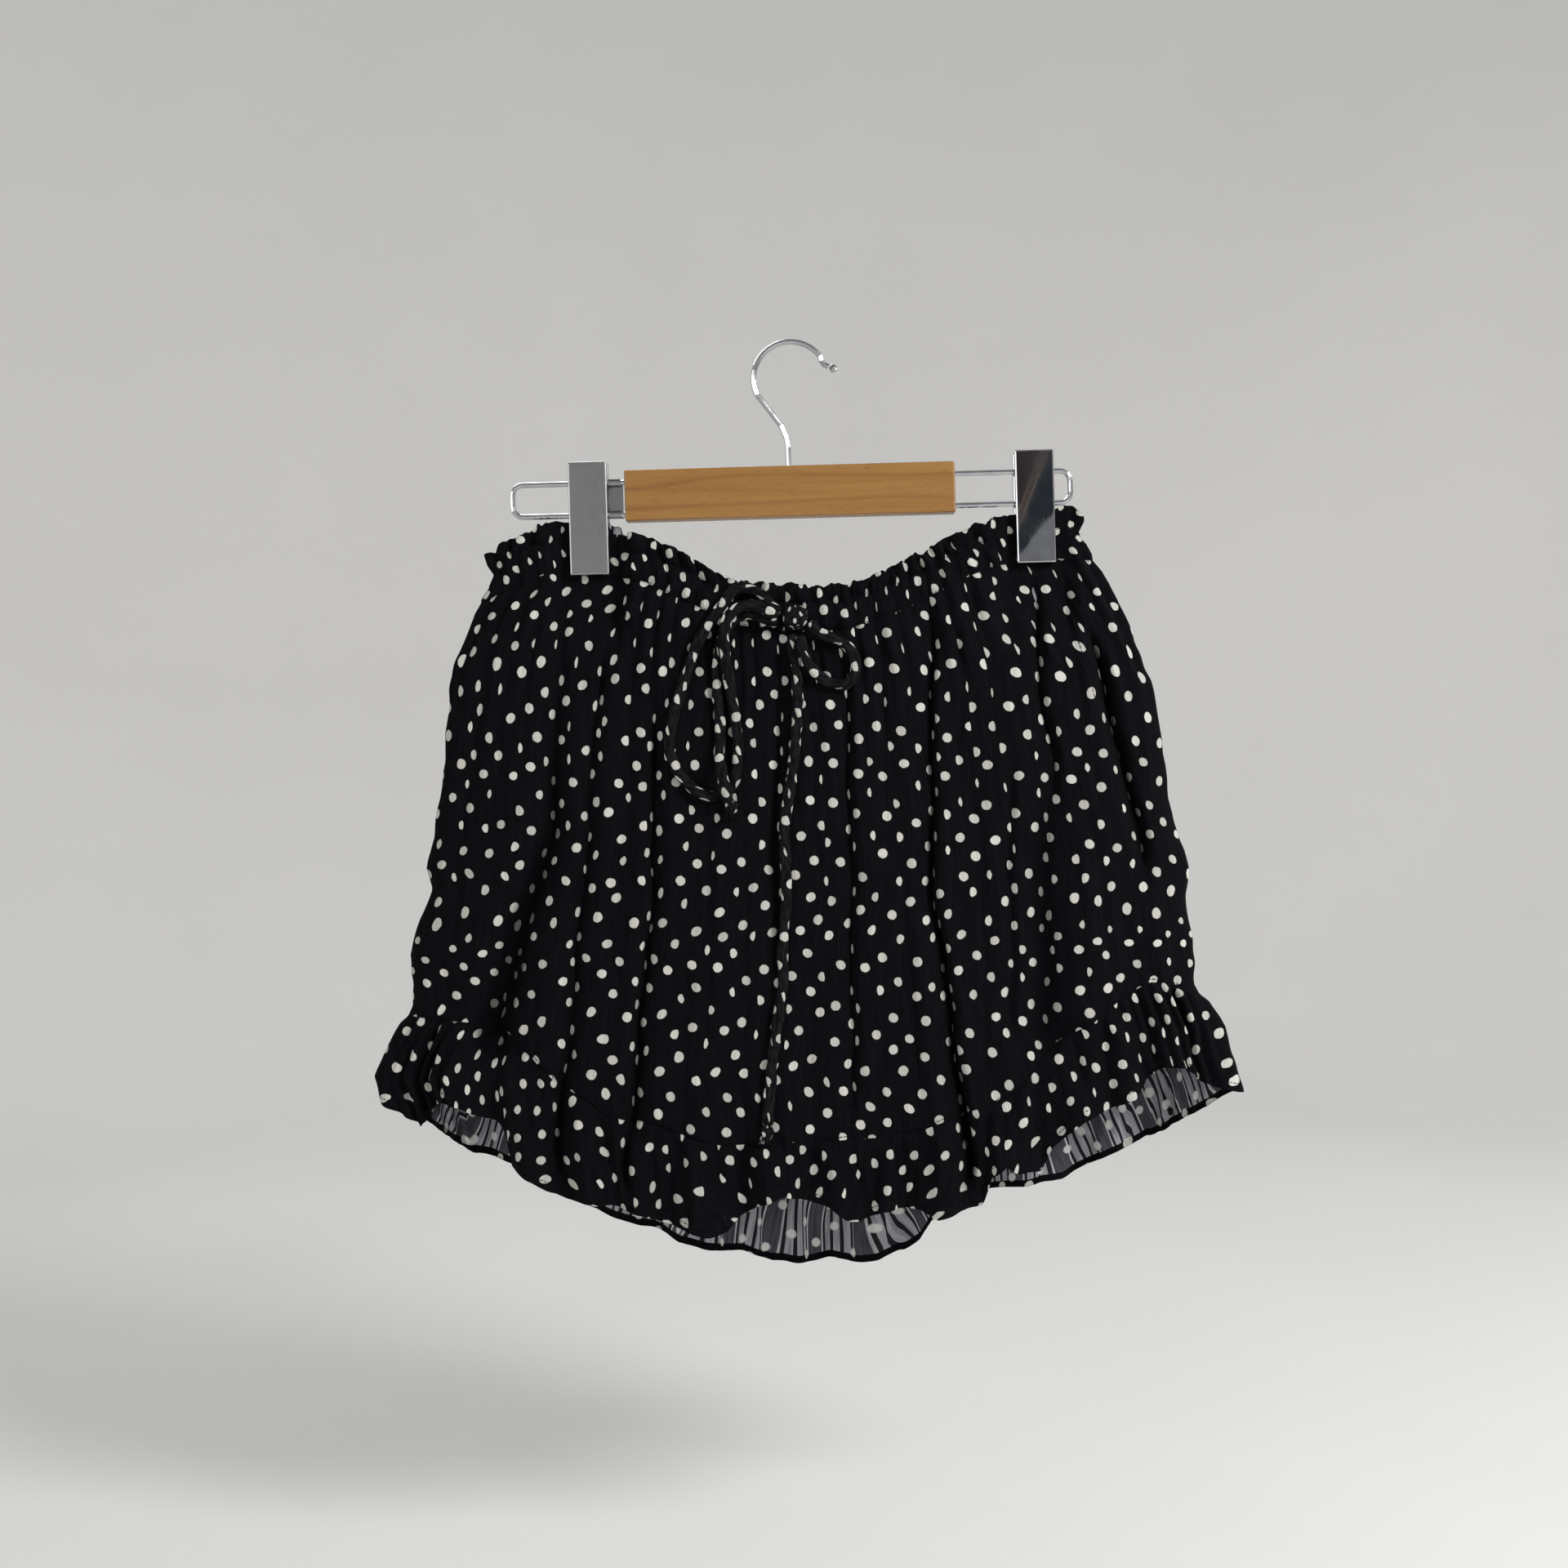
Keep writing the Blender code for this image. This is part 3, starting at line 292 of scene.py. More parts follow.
def value_noise(u: Array, v: Array, seed: int) -> Array:
    """Smooth noise from -1 to 1.

    Args:
        u: Place along the first axis, one unit to a bump.
        v: Place along the second axis.
        seed: Picks the pattern.

    Returns:
        The noise at each place.
    """
    lattice = np.random.default_rng(seed).uniform(-1.0, 1.0, (256, 64))
    column_at, row_at = np.floor(u).astype(int), np.floor(v).astype(int)
    across, down = ease(u - column_at), ease(v - row_at)
    left, right = column_at % 256, (column_at + 1) % 256
    low, high = row_at % 64, (row_at + 1) % 64
    near = lattice[left, low] * (1.0 - across) + lattice[right, low] * across
    far = lattice[left, high] * (1.0 - across) + lattice[right, high] * across
    return near * (1.0 - down) + far * down


def seam_share(share: Array) -> Array:
    """1 at the side seams, 0 at the middle of the width."""
    return np.abs(2.0 * share - 1.0)


def blur(count: int, reach: float) -> Array:
    """A matrix that smooths a row of values.

    Args:
        count: How many values.
        reach: How far the smoothing goes, in steps.

    Returns:
        The square matrix.
    """
    step = np.arange(count)
    weight = np.exp(-0.5 * ((step[:, None] - step[None]) / reach) ** 2)
    return weight / weight.sum(axis=1, keepdims=True)


def walk(points: Array) -> Array:
    """Distance walked along a path, from 0."""
    return np.concatenate([[0.0], np.cumsum(np.linalg.norm(np.diff(points, axis=0), axis=1))])


def pick(at: Array, walked: Array, values: Array) -> Array:
    """Reads the values of a path's points at distances along it."""
    return np.stack([np.interp(at, walked, row) for row in values.T], axis=1)


def fold_run(row: tuple, z: Array) -> tuple[Array, Array, Array]:
    """Follows a fold down the cloth.

    Args:
        row: The fold's row of FOLDS_FRONT or FOLDS_BACK.
        z: Height.

    Returns:
        Its x, its share of the way down and its depth.
    """
    xh, zh, xm, zm, xf, zf, dh, df = row[:8]
    centre = np.interp(-z, (-zh, -zm, -zf), (xh, xm, xf))
    centre = centre + 0.9 * np.sin(z / 17.0 + xh) + 0.5 * np.sin(z / 7.3 + xf)
    along = np.clip((zh - z) / (zh - zf), 0.0, 1.0)
    fade = ease((zh + 12.0 - z) / 42.0) * ease((z - zf + 34.0) / 34.0)
    return centre, along, (dh + (df - dh) * along) * fade


def linear(colour: str) -> tuple[float, float, float, float]:
    """Turns an sRGB hex colour to linear light.

    Args:
        colour: The colour, such as "#c6c5bd".

    Returns:
        Its linear red, green, blue and alpha.
    """
    parts = [int(colour[i : i + 2], 16) / 255.0 for i in (1, 3, 5)]
    parts = [c / 12.92 if c <= 0.04045 else ((c + 0.055) / 1.055) ** 2.4 for c in parts]
    return (parts[0], parts[1], parts[2], 1.0)


def placed(name: str, data: bpy.types.ID) -> bpy.types.Object:
    """Puts a new object with its data into the scene, and logs it."""
    made = bpy.data.objects.new(name, data)
    bpy.context.scene.collection.objects.link(made)
    LOG.info("%s is in the scene", name)
    return made


def plug(tree: Tree, node: Node, inputs: dict) -> None:
    """Fills a node's inputs.

    Args:
        tree: The material's node tree.
        node: The node.
        inputs: Socket names or numbers, with the value or the output that goes in.
    """
    for name, value in inputs.items():
        if isinstance(value, Socket):
            tree.links.new(value, node.inputs[name])
        else:
            node.inputs[name].default_value = value


def add_node(tree: Tree, kind: str, inputs: dict | None = None, **settings: object) -> Node:
    """Adds one shader node.

    Args:
        tree: The material's node tree.
        kind: Blender's name of the node type.
        inputs: Socket names or numbers, with the value or the output that goes in.
        **settings: Other settings of the node.

    Returns:
        The node.
    """
    node = tree.nodes.new(kind)
    for name, value in settings.items():
        setattr(node, name, value)
    plug(tree, node, inputs or {})
    return node


def mixed(tree: Tree, factor: object, first: object, second: object, **settings: object) -> Socket:
    """Mixes two colours.

    Args:
        tree: The material's node tree.
        factor: Share of the second colour.
        first: The first colour.
        second: The second colour.
        **settings: Other settings of the mix.

    Returns:
        The mixed colour.
    """
    ends = {"Factor": factor, "A": first, "B": second}
    return add_node(tree, "ShaderNodeMix", ends, data_type="RGBA", **settings).outputs["Result"]


def remap(tree: Tree, value: Socket, given: tuple = (0.0, 1.0), wanted: tuple = (0.0, 1.0)) -> Socket:
    """Maps one span of values to another.

    Args:
        tree: The material's node tree.
        value: The value that comes in.
        given: The span that it comes in.
        wanted: The span that goes out.

    Returns:
        The mapped value.
    """
    names = ("Value", "From Min", "From Max", "To Min", "To Max")
    return add_node(tree, "ShaderNodeMapRange", dict(zip(names, (value, *given, *wanted)))).outputs["Result"]


def maths(tree: Tree, operation: str, *values: object) -> Socket:
    """The outcome of an operation on some numbers."""
    return add_node(tree, "ShaderNodeMath", dict(enumerate(values)), operation=operation).outputs[0]


def vector_maths(tree: Tree, operation: str, inputs: dict) -> Node:
    """The node of an operation on some vectors."""
    return add_node(tree, "ShaderNodeVectorMath", inputs, operation=operation)


def stretched(tree: Tree, place: Socket, **inputs: tuple) -> Socket:
    """A place with Scale or Rotation put to it."""
    return add_node(tree, "ShaderNodeMapping", {"Vector": place, **inputs}).outputs[0]


def noise(
    tree: Tree, place: Socket, scale: float, detail: float, more: dict | None = None, **settings: object
) -> Node:
    """Adds a noise texture.

    Args:
        tree: The material's node tree.
        place: Where it is looked up.
        scale: Its scale.
        detail: Its detail.
        more: Its other inputs.
        **settings: Other settings of the node.

    Returns:
        The node.
    """
    inputs = {"Vector": place, "Scale": scale, "Detail": detail, **(more or {})}
    return add_node(tree, "ShaderNodeTexNoise", inputs, **settings)


def bumped(tree: Tree, height: Socket, deep_m: float, strength: float) -> Socket:
    """The normal of a surface that a height raises."""
    inputs = {"Height": height, "Distance": deep_m, "Strength": strength}
    return add_node(tree, "ShaderNodeBump", inputs).outputs["Normal"]


def cloth_place(tree: Tree) -> Socket:
    """Where a point lies on the flat cloth."""
    return add_node(tree, "ShaderNodeUVMap", uv_map="cloth").outputs["UV"]


def object_place(tree: Tree) -> Socket:
    """Where a point lies on its object."""
    return add_node(tree, "ShaderNodeTexCoord").outputs["Object"]


def fill_ramp(ramp: bpy.types.ColorRamp, stops: tuple) -> None:
    """Sets a colour ramp's stops.

    Args:
        ramp: The ramp, with Blender's own two stops.
        stops: Place and colour of each stop.
    """
    for number, (at, colour) in enumerate(stops):
        stop = ramp.elements[number] if number < 2 else ramp.elements.new(at)
        stop.position = at
        stop.color = linear(colour)


def new_material(name: str) -> tuple[Material, Tree, Node]:
    """Makes an empty material with its surface shader.

    Args:
        name: What the real material is.

    Returns:
        The material, its tree and its Principled shader.
    """
    made = bpy.data.materials.new(name)
    made.use_nodes = True
    return made, made.node_tree, made.node_tree.nodes["Principled BSDF"]


@dataclass(frozen=True)
class DottedCotton:
    """Crinkle-woven cotton, printed near black round off-white dots. Matt, with fine vertical puckers."""

    name: str = "crinkle_cotton_printed"
    ground: str = "#040406"
    # Painted highlight: the pucker ridges lighter than the ground
    painted_ridge_highlight: str = "#101014"
    dot: str = "#c6c5bd"
    # Dots dim towards this colour: at random from dot to dot, and as painted shade in the puckers' hollows
    dot_tone_and_pucker_shade: str = "#2a2a2e"
    # Painted shade in the garment's deep folds: its colour, and how much of it lies at the deepest
    painted_fold_shade: str = "#030305"
    painted_fold_shade_share: float = 0.8
    dot_mm: float = 5.9
    pitch_mm: float = 17.0
    scatter: float = 0.42
    ragged_m: float = 0.0005
    print_turn: float = 0.58
    pucker_mm: float = 1.9
    pucker_long_mm: float = 26.0
    pucker_deep_mm: float = 0.32
    pucker_strength: float = 0.9
    # Span of pucker height over which the painted ridge highlight rises
    ridge_highlight_span: tuple[float, float] = (0.0, 1.0)
    rough: float = 0.88
    specular: float = 0.04
    sheen: float = 0.008
    sheen_rough: float = 0.45

    def dots(self, tree: Tree, spread: float = 1.0) -> tuple[Socket, Socket]:
        """Lays out the print.

        Args:
            tree: The material's node tree.
            spread: How far the dots' edges have bled, as times the face's own.

        Returns:
            The dots' mask and a value that differs from dot to dot.
        """
        place = cloth_place(tree)
        ragged = noise(tree, place, 520.0, 1.0, noise_dimensions="2D").outputs["Color"]
        shift = vector_maths(tree, "SUBTRACT", {0: ragged, 1: (0.5, 0.5, 0.5)}).outputs[0]
        small = vector_maths(tree, "SCALE", {0: shift, "Scale": self.ragged_m}).outputs[0]
        moved = vector_maths(tree, "ADD", {0: place, 1: small}).outputs[0]
        turned = stretched(tree, moved, Rotation=(0.0, 0.0, self.print_turn))
        inputs = {"Vector": turned, "Scale": 1000.0 / self.pitch_mm, "Randomness": self.scatter}
        cells = add_node(tree, "ShaderNodeTexVoronoi", inputs, voronoi_dimensions="2D")
        radius, edge = self.dot_mm / 2.0, 0.16 * spread
        span = ((radius + edge) / self.pitch_mm, (radius - edge) / self.pitch_mm)
        own = add_node(tree, "ShaderNodeSeparateColor", {"Color": cells.outputs["Color"]})
        return remap(tree, cells.outputs["Distance"], span), own.outputs["Red"]

    def puckers(self, tree: Tree) -> Socket:
        """The height of the fine vertical puckers, from 0 to 1."""
        scale = (1000.0 / self.pucker_mm, 1000.0 / self.pucker_long_mm, 1.0)
        long = stretched(tree, cloth_place(tree), Scale=scale)
        return noise(tree, long, 1.0, 2.5, {"Roughness": 0.55}, noise_dimensions="2D").outputs[0]

    def surface(self, tree: Tree, colour: Socket, height: Socket) -> dict:
        """What every cotton's shader takes in."""
        return {
            "Base Color": colour,
            "Normal": bumped(tree, height, self.pucker_deep_mm * MM, self.pucker_strength),
            "Roughness": self.rough,
            "Specular IOR Level": self.specular,
        }

    def make(self) -> Material:
        """Makes the printed face of the cloth.

        Returns:
            The material.
        """
        made, tree, shader = new_material(self.name)
        mask, tone = self.dots(tree)
        height = self.puckers(tree)
        # Painted highlight on the pucker ridges, by pucker height
        raised = remap(tree, height, self.ridge_highlight_span)
        ground = mixed(tree, raised, linear(self.ground), linear(self.painted_ridge_highlight))
        # Each dot's own random tone, times painted shade in the puckers' hollows
        faded = remap(tree, tone, wanted=(0.72, 1.0))
        grey = remap(tree, height, (0.3, 0.65), (0.82, 1.0))
        dot = mixed(tree, maths(tree, "MULTIPLY", faded, grey), linear(self.dot_tone_and_pucker_shade), linear(self.dot))
        colour = mixed(tree, mask, ground, dot)
        # Painted shade: the colour darkened by the fold depth that each point stores
        deep = add_node(tree, "ShaderNodeAttribute", attribute_name="shade").outputs["Fac"]
        painted_fold_shade_amount = maths(tree, "MULTIPLY", deep, self.painted_fold_shade_share)
        colour = mixed(tree, painted_fold_shade_amount, colour, linear(self.painted_fold_shade))
        plug(tree, shader, self.surface(tree, colour, height))
        plug(tree, shader, {"Sheen Weight": self.sheen, "Sheen Roughness": self.sheen_rough})
        return made


@dataclass(frozen=True)
class CottonWrongSide(DottedCotton):
    """The unprinted side of the same cotton: pale grey, the woven stripes and the dots showing through."""

    name: str = "crinkle_cotton_wrong_side"
    dot: str = "#dcdcd8"
    through: float = 0.8
    pucker_strength: float = 0.7
    rough: float = 0.9
    specular: float = 0.2
    repeat_mm: float = 33.0
    stripes: tuple[tuple[float, str], ...] = (
        # from, colour
        (0.0, "#b9babf"),
        (1.1, "#1b1c20"),
        (2.9, "#9a9ba1"),
        (7.2, "#1e1f24"),
        (9.4, "#a0a1a7"),
        (13.7, "#1b1c20"),
        (15.9, "#9a9ba1"),
        (20.2, "#1e1f24"),
        (22.2, "#b9babf"),
        (23.3, "#46474d"),
    )

    def make(self) -> Material:
        """Makes the wrong side of the cloth.

        Returns:
            The material.
        """
        made, tree, shader = new_material(self.name)
        mask, _ = self.dots(tree, 3.0)
        height = self.puckers(tree)
        across = add_node(tree, "ShaderNodeSeparateXYZ", {"Vector": cloth_place(tree)}).outputs["X"]
        part = maths(tree, "FRACT", maths(tree, "MULTIPLY", across, 1.0 / (self.repeat_mm * MM)))
        chart = add_node(tree, "ShaderNodeValToRGB", {"Fac": part})
        chart.color_ramp.interpolation = "CONSTANT"
        fill_ramp(chart.color_ramp, tuple((start / self.repeat_mm, tone) for start, tone in self.stripes))
        # Painted light and shade: the stripes lighter on the pucker ridges and darker in their hollows
        rib_light_and_shade = remap(tree, height, (0.3, 0.7), (0.62, 1.12))
        woven = mixed(tree, 1.0, chart.outputs["Color"], rib_light_and_shade, blend_type="MULTIPLY")
        colour = mixed(tree, maths(tree, "MULTIPLY", mask, self.through), woven, linear(self.dot))
        plug(tree, shader, self.surface(tree, colour, height))
        return made


@dataclass(frozen=True)
class Thread:
    """Spun polyester sewing thread, dyed black. A faint lustre along its twist."""

    name: str = "polyester_thread_black"
    colour: str = "#0b0b0f"
    shadow: str = "#08080c"
    rough: float = 0.75
    specular: float = 0.12

    def make(self) -> Material:
        """Makes the thread's material.

        Returns:
            The material.
        """
        made, tree, shader = new_material(self.name)
        twist = noise(tree, object_place(tree), 1400.0, 1.0).outputs[0]
        colour = mixed(tree, twist, linear(self.shadow), linear(self.colour))
        inputs = {"Base Color": colour, "Roughness": self.rough, "Specular IOR Level": self.specular}
        plug(tree, shader, inputs)
        return made


@dataclass(frozen=True)
class VarnishedBeech:
    """Beech sawn along the grain, under a satin varnish. Honey brown, faint growth lines, short flecks."""

    name: str = "beech_satin_varnish"
    pale: str = "#966c33"
    deep: str = "#855c25"
    fleck: str = "#6c451b"
    late_growth: float = 0.38
    flecks: float = 0.55
    coat: float = 0.18
    coat_rough: float = 0.25

    def make(self) -> Material:
        """Makes the wood, with its grain along X.

        Returns:
            The material.
        """
        made, tree, shader = new_material(self.name)
        place = object_place(tree)
        broad = stretched(tree, place, Scale=(5.0, 130.0, 130.0))
        growth = noise(tree, broad, 1.0, 4.0, {"Roughness": 0.62, "Distortion": 0.4}).outputs[0]
        wood = mixed(tree, remap(tree, growth, (0.3, 0.72)), linear(self.deep), linear(self.pale))
        bowed = stretched(tree, place, Scale=(0.16, 1.0, 1.0))
        inputs = {"Vector": bowed, "Scale": 26.0, "Distortion": 7.0, "Detail": 1.0, "Detail Scale": 1.1}
        lines = add_node(tree, "ShaderNodeTexWave", inputs, bands_direction="Z").outputs["Fac"]
        late = remap(tree, lines, (0.86, 1.0), (0.0, self.late_growth))
        wood = mixed(tree, late, wood, linear(self.fleck))
        thin = stretched(tree, place, Scale=(160.0, 1500.0, 1500.0))
        fibres = noise(tree, thin, 1.0, 2.0).outputs[0]
        short = remap(tree, fibres, (0.56, 0.74), (0.0, self.flecks))
        inputs = {
            "Base Color": mixed(tree, short, wood, linear(self.fleck)),
            "Roughness": remap(tree, growth, wanted=(0.34, 0.48)),
            "Normal": bumped(tree, fibres, 0.00006, 0.5),
            "Coat Weight": self.coat,
            "Coat Roughness": self.coat_rough,
        }
        plug(tree, shader, inputs)
        return made


@dataclass(frozen=True)
class Steel:
    """Plated steel sheet or wire. Grey mirror, its haze and scratches set by how far it was polished."""

    name: str
    colour: str = "#c8c9cc"
    smudged: str = "#98999c"
    low: float = 0.08
    high: float = 0.16
    streak_mm: tuple[float, float, float] = (0.5, 0.5, 9.0)
    scratch_mm: float = 0.004

    def make(self) -> Material:
        """Makes the metal.

        Returns:
            The material.
        """
        made, tree, shader = new_material(self.name)
        place = object_place(tree)
        drawn = stretched(tree, place, Scale=tuple(1000.0 / s for s in self.streak_mm))
        brush = noise(tree, drawn, 1.0, 3.0).outputs[0]
        smudge = noise(tree, place, 70.0, 3.0).outputs[0]
        both = maths(tree, "MULTIPLY", brush, smudge)
        inputs = {
            "Base Color": mixed(tree, smudge, linear(self.smudged), linear(self.colour)),
            "Roughness": remap(tree, both, (0.12, 0.42), (self.low, self.high)),
            "Normal": bumped(tree, brush, self.scratch_mm * MM, 0.6),
            "Metallic": 1.0,
        }
        plug(tree, shader, inputs)
        return made


@dataclass
class GarmentForm:
    """The garment's surface: its girth, height lines, folds, gathers and fine drape."""

    roundness: float = 2.6
    pinched_half: float = 1.2
    seam_gap: float = 0.012
    cut_mm: float = 675.0
    waist_more_cut_mm: float = 95.0
    ruffle_cut_mm: dict[Side, float] = field(default_factory=lambda: {Side.FRONT: 880.0, Side.BACK: 700.0})
    gathers: dict[Side, int] = field(default_factory=lambda: {Side.FRONT: 30, Side.BACK: 22})
    ruffles: dict[Side, int] = field(default_factory=lambda: {Side.FRONT: 28, Side.BACK: 20})
    clips_x: tuple[float, float] = (-132.4, 153.7)
    grip_reach_mm: float = 29.0
    lapped_mm: float = 2.2
    open_fold_mm: float = 7.0
    shade_from_mm: float = 3.0
    shade_over_mm: float = 6.5
    flare_span_mm: float = 45.0
    flare_bow: float = 0.3
    peek_mm: float = 5.5
    smooth_down_mm: float = 5.0
    smooth_across_mm: float = 36.0
    smooth_tilt_mm: float = 18.0
    stair_share: float = 0.14

    def girth(self, z: Array, index: int) -> Array:
        """A column of SECTIONS at height z."""
        return np.interp(-np.asarray(z), -column(SECTIONS, 0), column(SECTIONS, index))

    def height(self, share: Array, table: tuple) -> Array:
        """Follows a height line across the garment.

        Args:
            share: Share of the width, 0 at the left edge and 1 at the right.
            table: The line's x and z.

        Returns:
            Its height at each share.
        """
        x, z = column(table, 0), column(table, 1)
        at = (x - self.girth(z, 1)) / (self.girth(z, 2) - self.girth(z, 1))
        at[0], at[-1] = 0.0, 1.0
        return np.interp(share, at, z)

    def lines(self, side: Side, share: Array) -> tuple[Array, Array, Array, Array]:
        """Reads the four height lines.

        Args:
            side: Front or back.
            share: Share of the width.

        Returns:
            Top edge, casing's lower edge, ruffle seam and hem.
        """
        front = side is Side.FRONT
        top, casing = self.height(share, TOP_EDGE), self.height(share, CASING_LINE)
        peek = self.peek_mm * np.exp(-(((share - 0.216) / 0.014) ** 2))
        top = top if front else np.minimum(top, -111.0) + peek
        seam = self.height(share, SEAM_FRONT if front else SEAM_BACK)
        return top, casing, seam, self.height(share, HEM_FRONT if front else HEM_BACK)

    def pinch(self, x: Array, z: Array) -> Array:
        """1 where a clip holds both layers flat, fading to 0 away from it."""
        hold = np.zeros_like(x)
        for centre in self.clips_x:
            hold = np.maximum(hold, ease((self.grip_reach_mm - np.abs(x - centre)) / 12.0))
        return hold * ease((z + 206.0) / 46.0)

    def share(self, angle: Array) -> Array:
        """Share of the width at an angle round the half, 0 at the left seam and pi at the right."""
        across = -np.cos(angle)
        return 0.5 * (1.0 + np.sign(across) * np.abs(across) ** (2.0 / self.roundness))

    def section(self, side: Side, angle: Array, z: Array) -> tuple[Array, Array, Array]:
        """The smooth girth.

        Args:
            side: Front or back.
            angle: Angle round the half.
            z: Height.

        Returns:
            x, y and the share of the width.
        """
        left, right = self.girth(z, 1), self.girth(z, 2)
        around = np.sin(angle)
        around = np.sign(around) * np.abs(around) ** (2.0 / self.roundness)
        share = self.share(angle)
        x = left + (right - left) * share
        hold = self.pinch(x, z)
        half = self.girth(z, 3 if side is Side.FRONT else 4) * around
        y = half * (1.0 - hold) + self.pinched_half * hold * np.sign(around)
        return x, side.value * y, share

    def phase(self, share: Array, offset: float) -> Array:
        """Share of the width with the spacing of the waves made uneven."""
        shifted = share + 0.010 * np.sin(6.0 * np.pi * share + offset) - 0.010 * math.sin(offset)
        return shifted + 0.005 * np.sin(14.0 * np.pi * share)

    def wave(self, share: Array, count: int, offset: float = 0.0) -> Array:
        """Uneven waves, the same at both side seams."""
        return np.cos(2.0 * np.pi * count * self.phase(share, offset))

    def valleys(self, side: Side, x: Array, z: Array) -> tuple[Array, Array]:
        """The folds.

        Args:
            side: Front or back.
            x: Place across.
            z: Height.

        Returns:
            Depth into the cloth and the sideways slip of the banks.
        """
        deep, slip = np.zeros_like(x), np.zeros_like(x)
        for row in FOLDS_FRONT if side is Side.FRONT else FOLDS_BACK:
            centre, along, depth = fold_run(row, z)
            wh, wf, lean = row[8:]
            off = (x - centre) / (wh + (wf - wh) * along)
            notch = depth * np.exp(-off * off)
            deep += notch + 0.38 * depth * np.exp(-((off * 2.4) ** 2))
            deep -= 0.3 * depth * np.exp(-((off / 2.8) ** 2))
            slip += 1.25 * lean * notch
        for xh, zh, xf, zf, depth, half in CREASES_FRONT if side is Side.FRONT else CREASES_BACK:
            along = np.clip((zh - z) / (zh - zf), 0.0, 1.0)
            fade = ease((zh + 14.0 - z) / 34.0) * ease((z - zf + 22.0) / 40.0)
            centre = xh + (xf - xh) * along + 0.8 * np.sin(z / 12.0 + xh)
            off = (x - centre) / half
            deep += depth * fade * (np.exp(-off * off) - 0.35 * np.exp(-((off / 3.0) ** 2)))
        return deep, slip

    def drop(self, side: Side, share: Array, z: Array) -> Array:
        """Distance below the top edge, with the casing's lower edge always at CASING_DROP."""
        top, casing, _, _ = self.lines(side, share)
        return np.where(z > casing, CASING_DROP * (top - z) / (top - casing), CASING_DROP + casing - z)

    def relief(self, side: Side, share: Array, x: Array, z: Array) -> tuple[Array, Array]:
        """Displacement of the cloth from its smooth girth.

        Args:
            side: Front or back.
            share: Share of the width.
            x: Place across.
            z: Height.

        Returns:
            Outward displacement and the folds' sideways slip.
        """
        _, _, seam, hem = self.lines(side, share)
        drop = self.drop(side, share, z)
        free = 1.0 - 0.95 * self.pinch(x, z)
        edge = np.clip(14.0 * share * (1.0 - share), 0.0, 1.0)
        uneven = 0.8 + 0.2 * np.sin(2.0 * np.pi * 7.0 * share)
        out = np.interp(drop, column(WAIST_PROFILE, 0), column(WAIST_PROFILE, 1)) * free
        small = np.interp(drop, column(WAIST_PROFILE, 0), column(WAIST_PROFILE, 2))
        out = out + small * free * uneven * self.wave(share, self.gathers[side])
        settle = ease((drop - CASING_DROP) / 120.0) * edge
        out = out + settle * 1.5 * np.sin(2.0 * np.pi * 4.3 * share + 0.8 + z / 110.0)
        out = out + settle * 1.0 * np.sin(2.0 * np.pi * 10.7 * share + 2.1 - z / 80.0)
        part = np.clip((seam - z) / (seam - hem), 0.0, 1.0)
        below = ease((seam - z) / 6.0)
        gather = np.interp(part, column(RUFFLE_PROFILE, 0), column(RUFFLE_PROFILE, 1))
        flute = np.interp(part, column(RUFFLE_PROFILE, 0), column(RUFFLE_PROFILE, 2))
        count = self.ruffles[side]
        ripple = gather * self.wave(share, count, 0.7) + flute * self.wave(share, count // 2, 1.9)
        deep, slip = self.valleys(side, x, z)
        out = out + below * (0.8 + ripple) - deep * edge
        near = np.clip(40.0 * share * (1.0 - share), 0.0, 1.0)
        gripped = self.pinch(x, z)
        fine = self.fine_relief(side, share, drop, z)
        fine = fine * (1.0 - 0.95 * ease((gripped - 0.55) / 0.4))
        fine = np.where(gripped > 0.0, np.maximum(fine, -1.6 + 1.1 * gripped), fine)
        return out + fine * near, slip * edge

    def fine_relief(self, side: Side, share: Array, drop: Array, z: Array) -> Array:
        """Small gathers, puckers at the stitching, the sewn grooves and the loose drape between folds.

        Args:
            side: Front or back.
            share: Share of the width.
            drop: Distance below the top edge.
            z: Height.

        Returns:
            Outward displacement.
        """
        _, _, seam, hem = self.lines(side, share)
        seed = 10 if side is Side.FRONT else 60
        across = share * 600.0
        part = np.clip((seam - z) / (seam - hem), 0.0, 1.0)
        header = ease((14.0 - drop) / 5.0)
        casing = ease((drop - 9.0) / 4.0) * ease((34.0 - drop) / 4.0)
        gathered = ease((drop - 28.0) / 8.0) * ease((170.0 - drop) / 130.0)
        loose = ease((drop - 60.0) / 80.0)
        frill = ease((seam - z) / 3.0)
        above = ease((z - seam) / 1.5) * ease((seam + 26.0 - z) / 22.0)
        bumps = (
            # where, depth, width, place down
            (header, 2.5, 5.2, drop / 9.0),
            (header, 1.3, 3.0, drop / 6.0),
            (casing, 1.5, 4.8, drop / 12.0),
            (casing, 0.4, 2.3, drop / 8.0),
            (gathered, 1.9, 7.0, z / 52.0),
            (gathered, 0.8, 3.6, z / 34.0),
            (loose, 1.1, 13.0, z / 95.0),
            (loose, 0.5, 5.6, z / 48.0),
            (frill, 2.3 - 1.5 * part, 5.4, part * 1.6 + 9.0),
            (frill, 0.9 - 0.5 * part, 2.9, part * 2.4 + 5.0),
            (above, 1.0, 6.2, z / 22.0),
        )
        out = np.zeros_like(across * z)
        for number, (where, depth, wide, down) in enumerate(bumps):
            out += where * depth * value_noise(across / wide, down, seed + number)
        for groove in (HEADER_DROP, CASING_DROP):
            out -= 0.6 * np.exp(-(((drop - groove) / 1.4) ** 2))
        bunch = frill * (ease((0.10 - share) / 0.05) + 0.8 * ease((share - 0.88) / 0.05))
        out += bunch * 3.0 * np.sin(2.0 * np.pi * share * 62.0 + 1.6 * np.sin(part * 3.0))
        out -= 1.4 * np.exp(-(((z - seam) / 1.5) ** 2))
        return out + frill * 0.3 * ease((6.5 - (z - hem)) / 0.8)

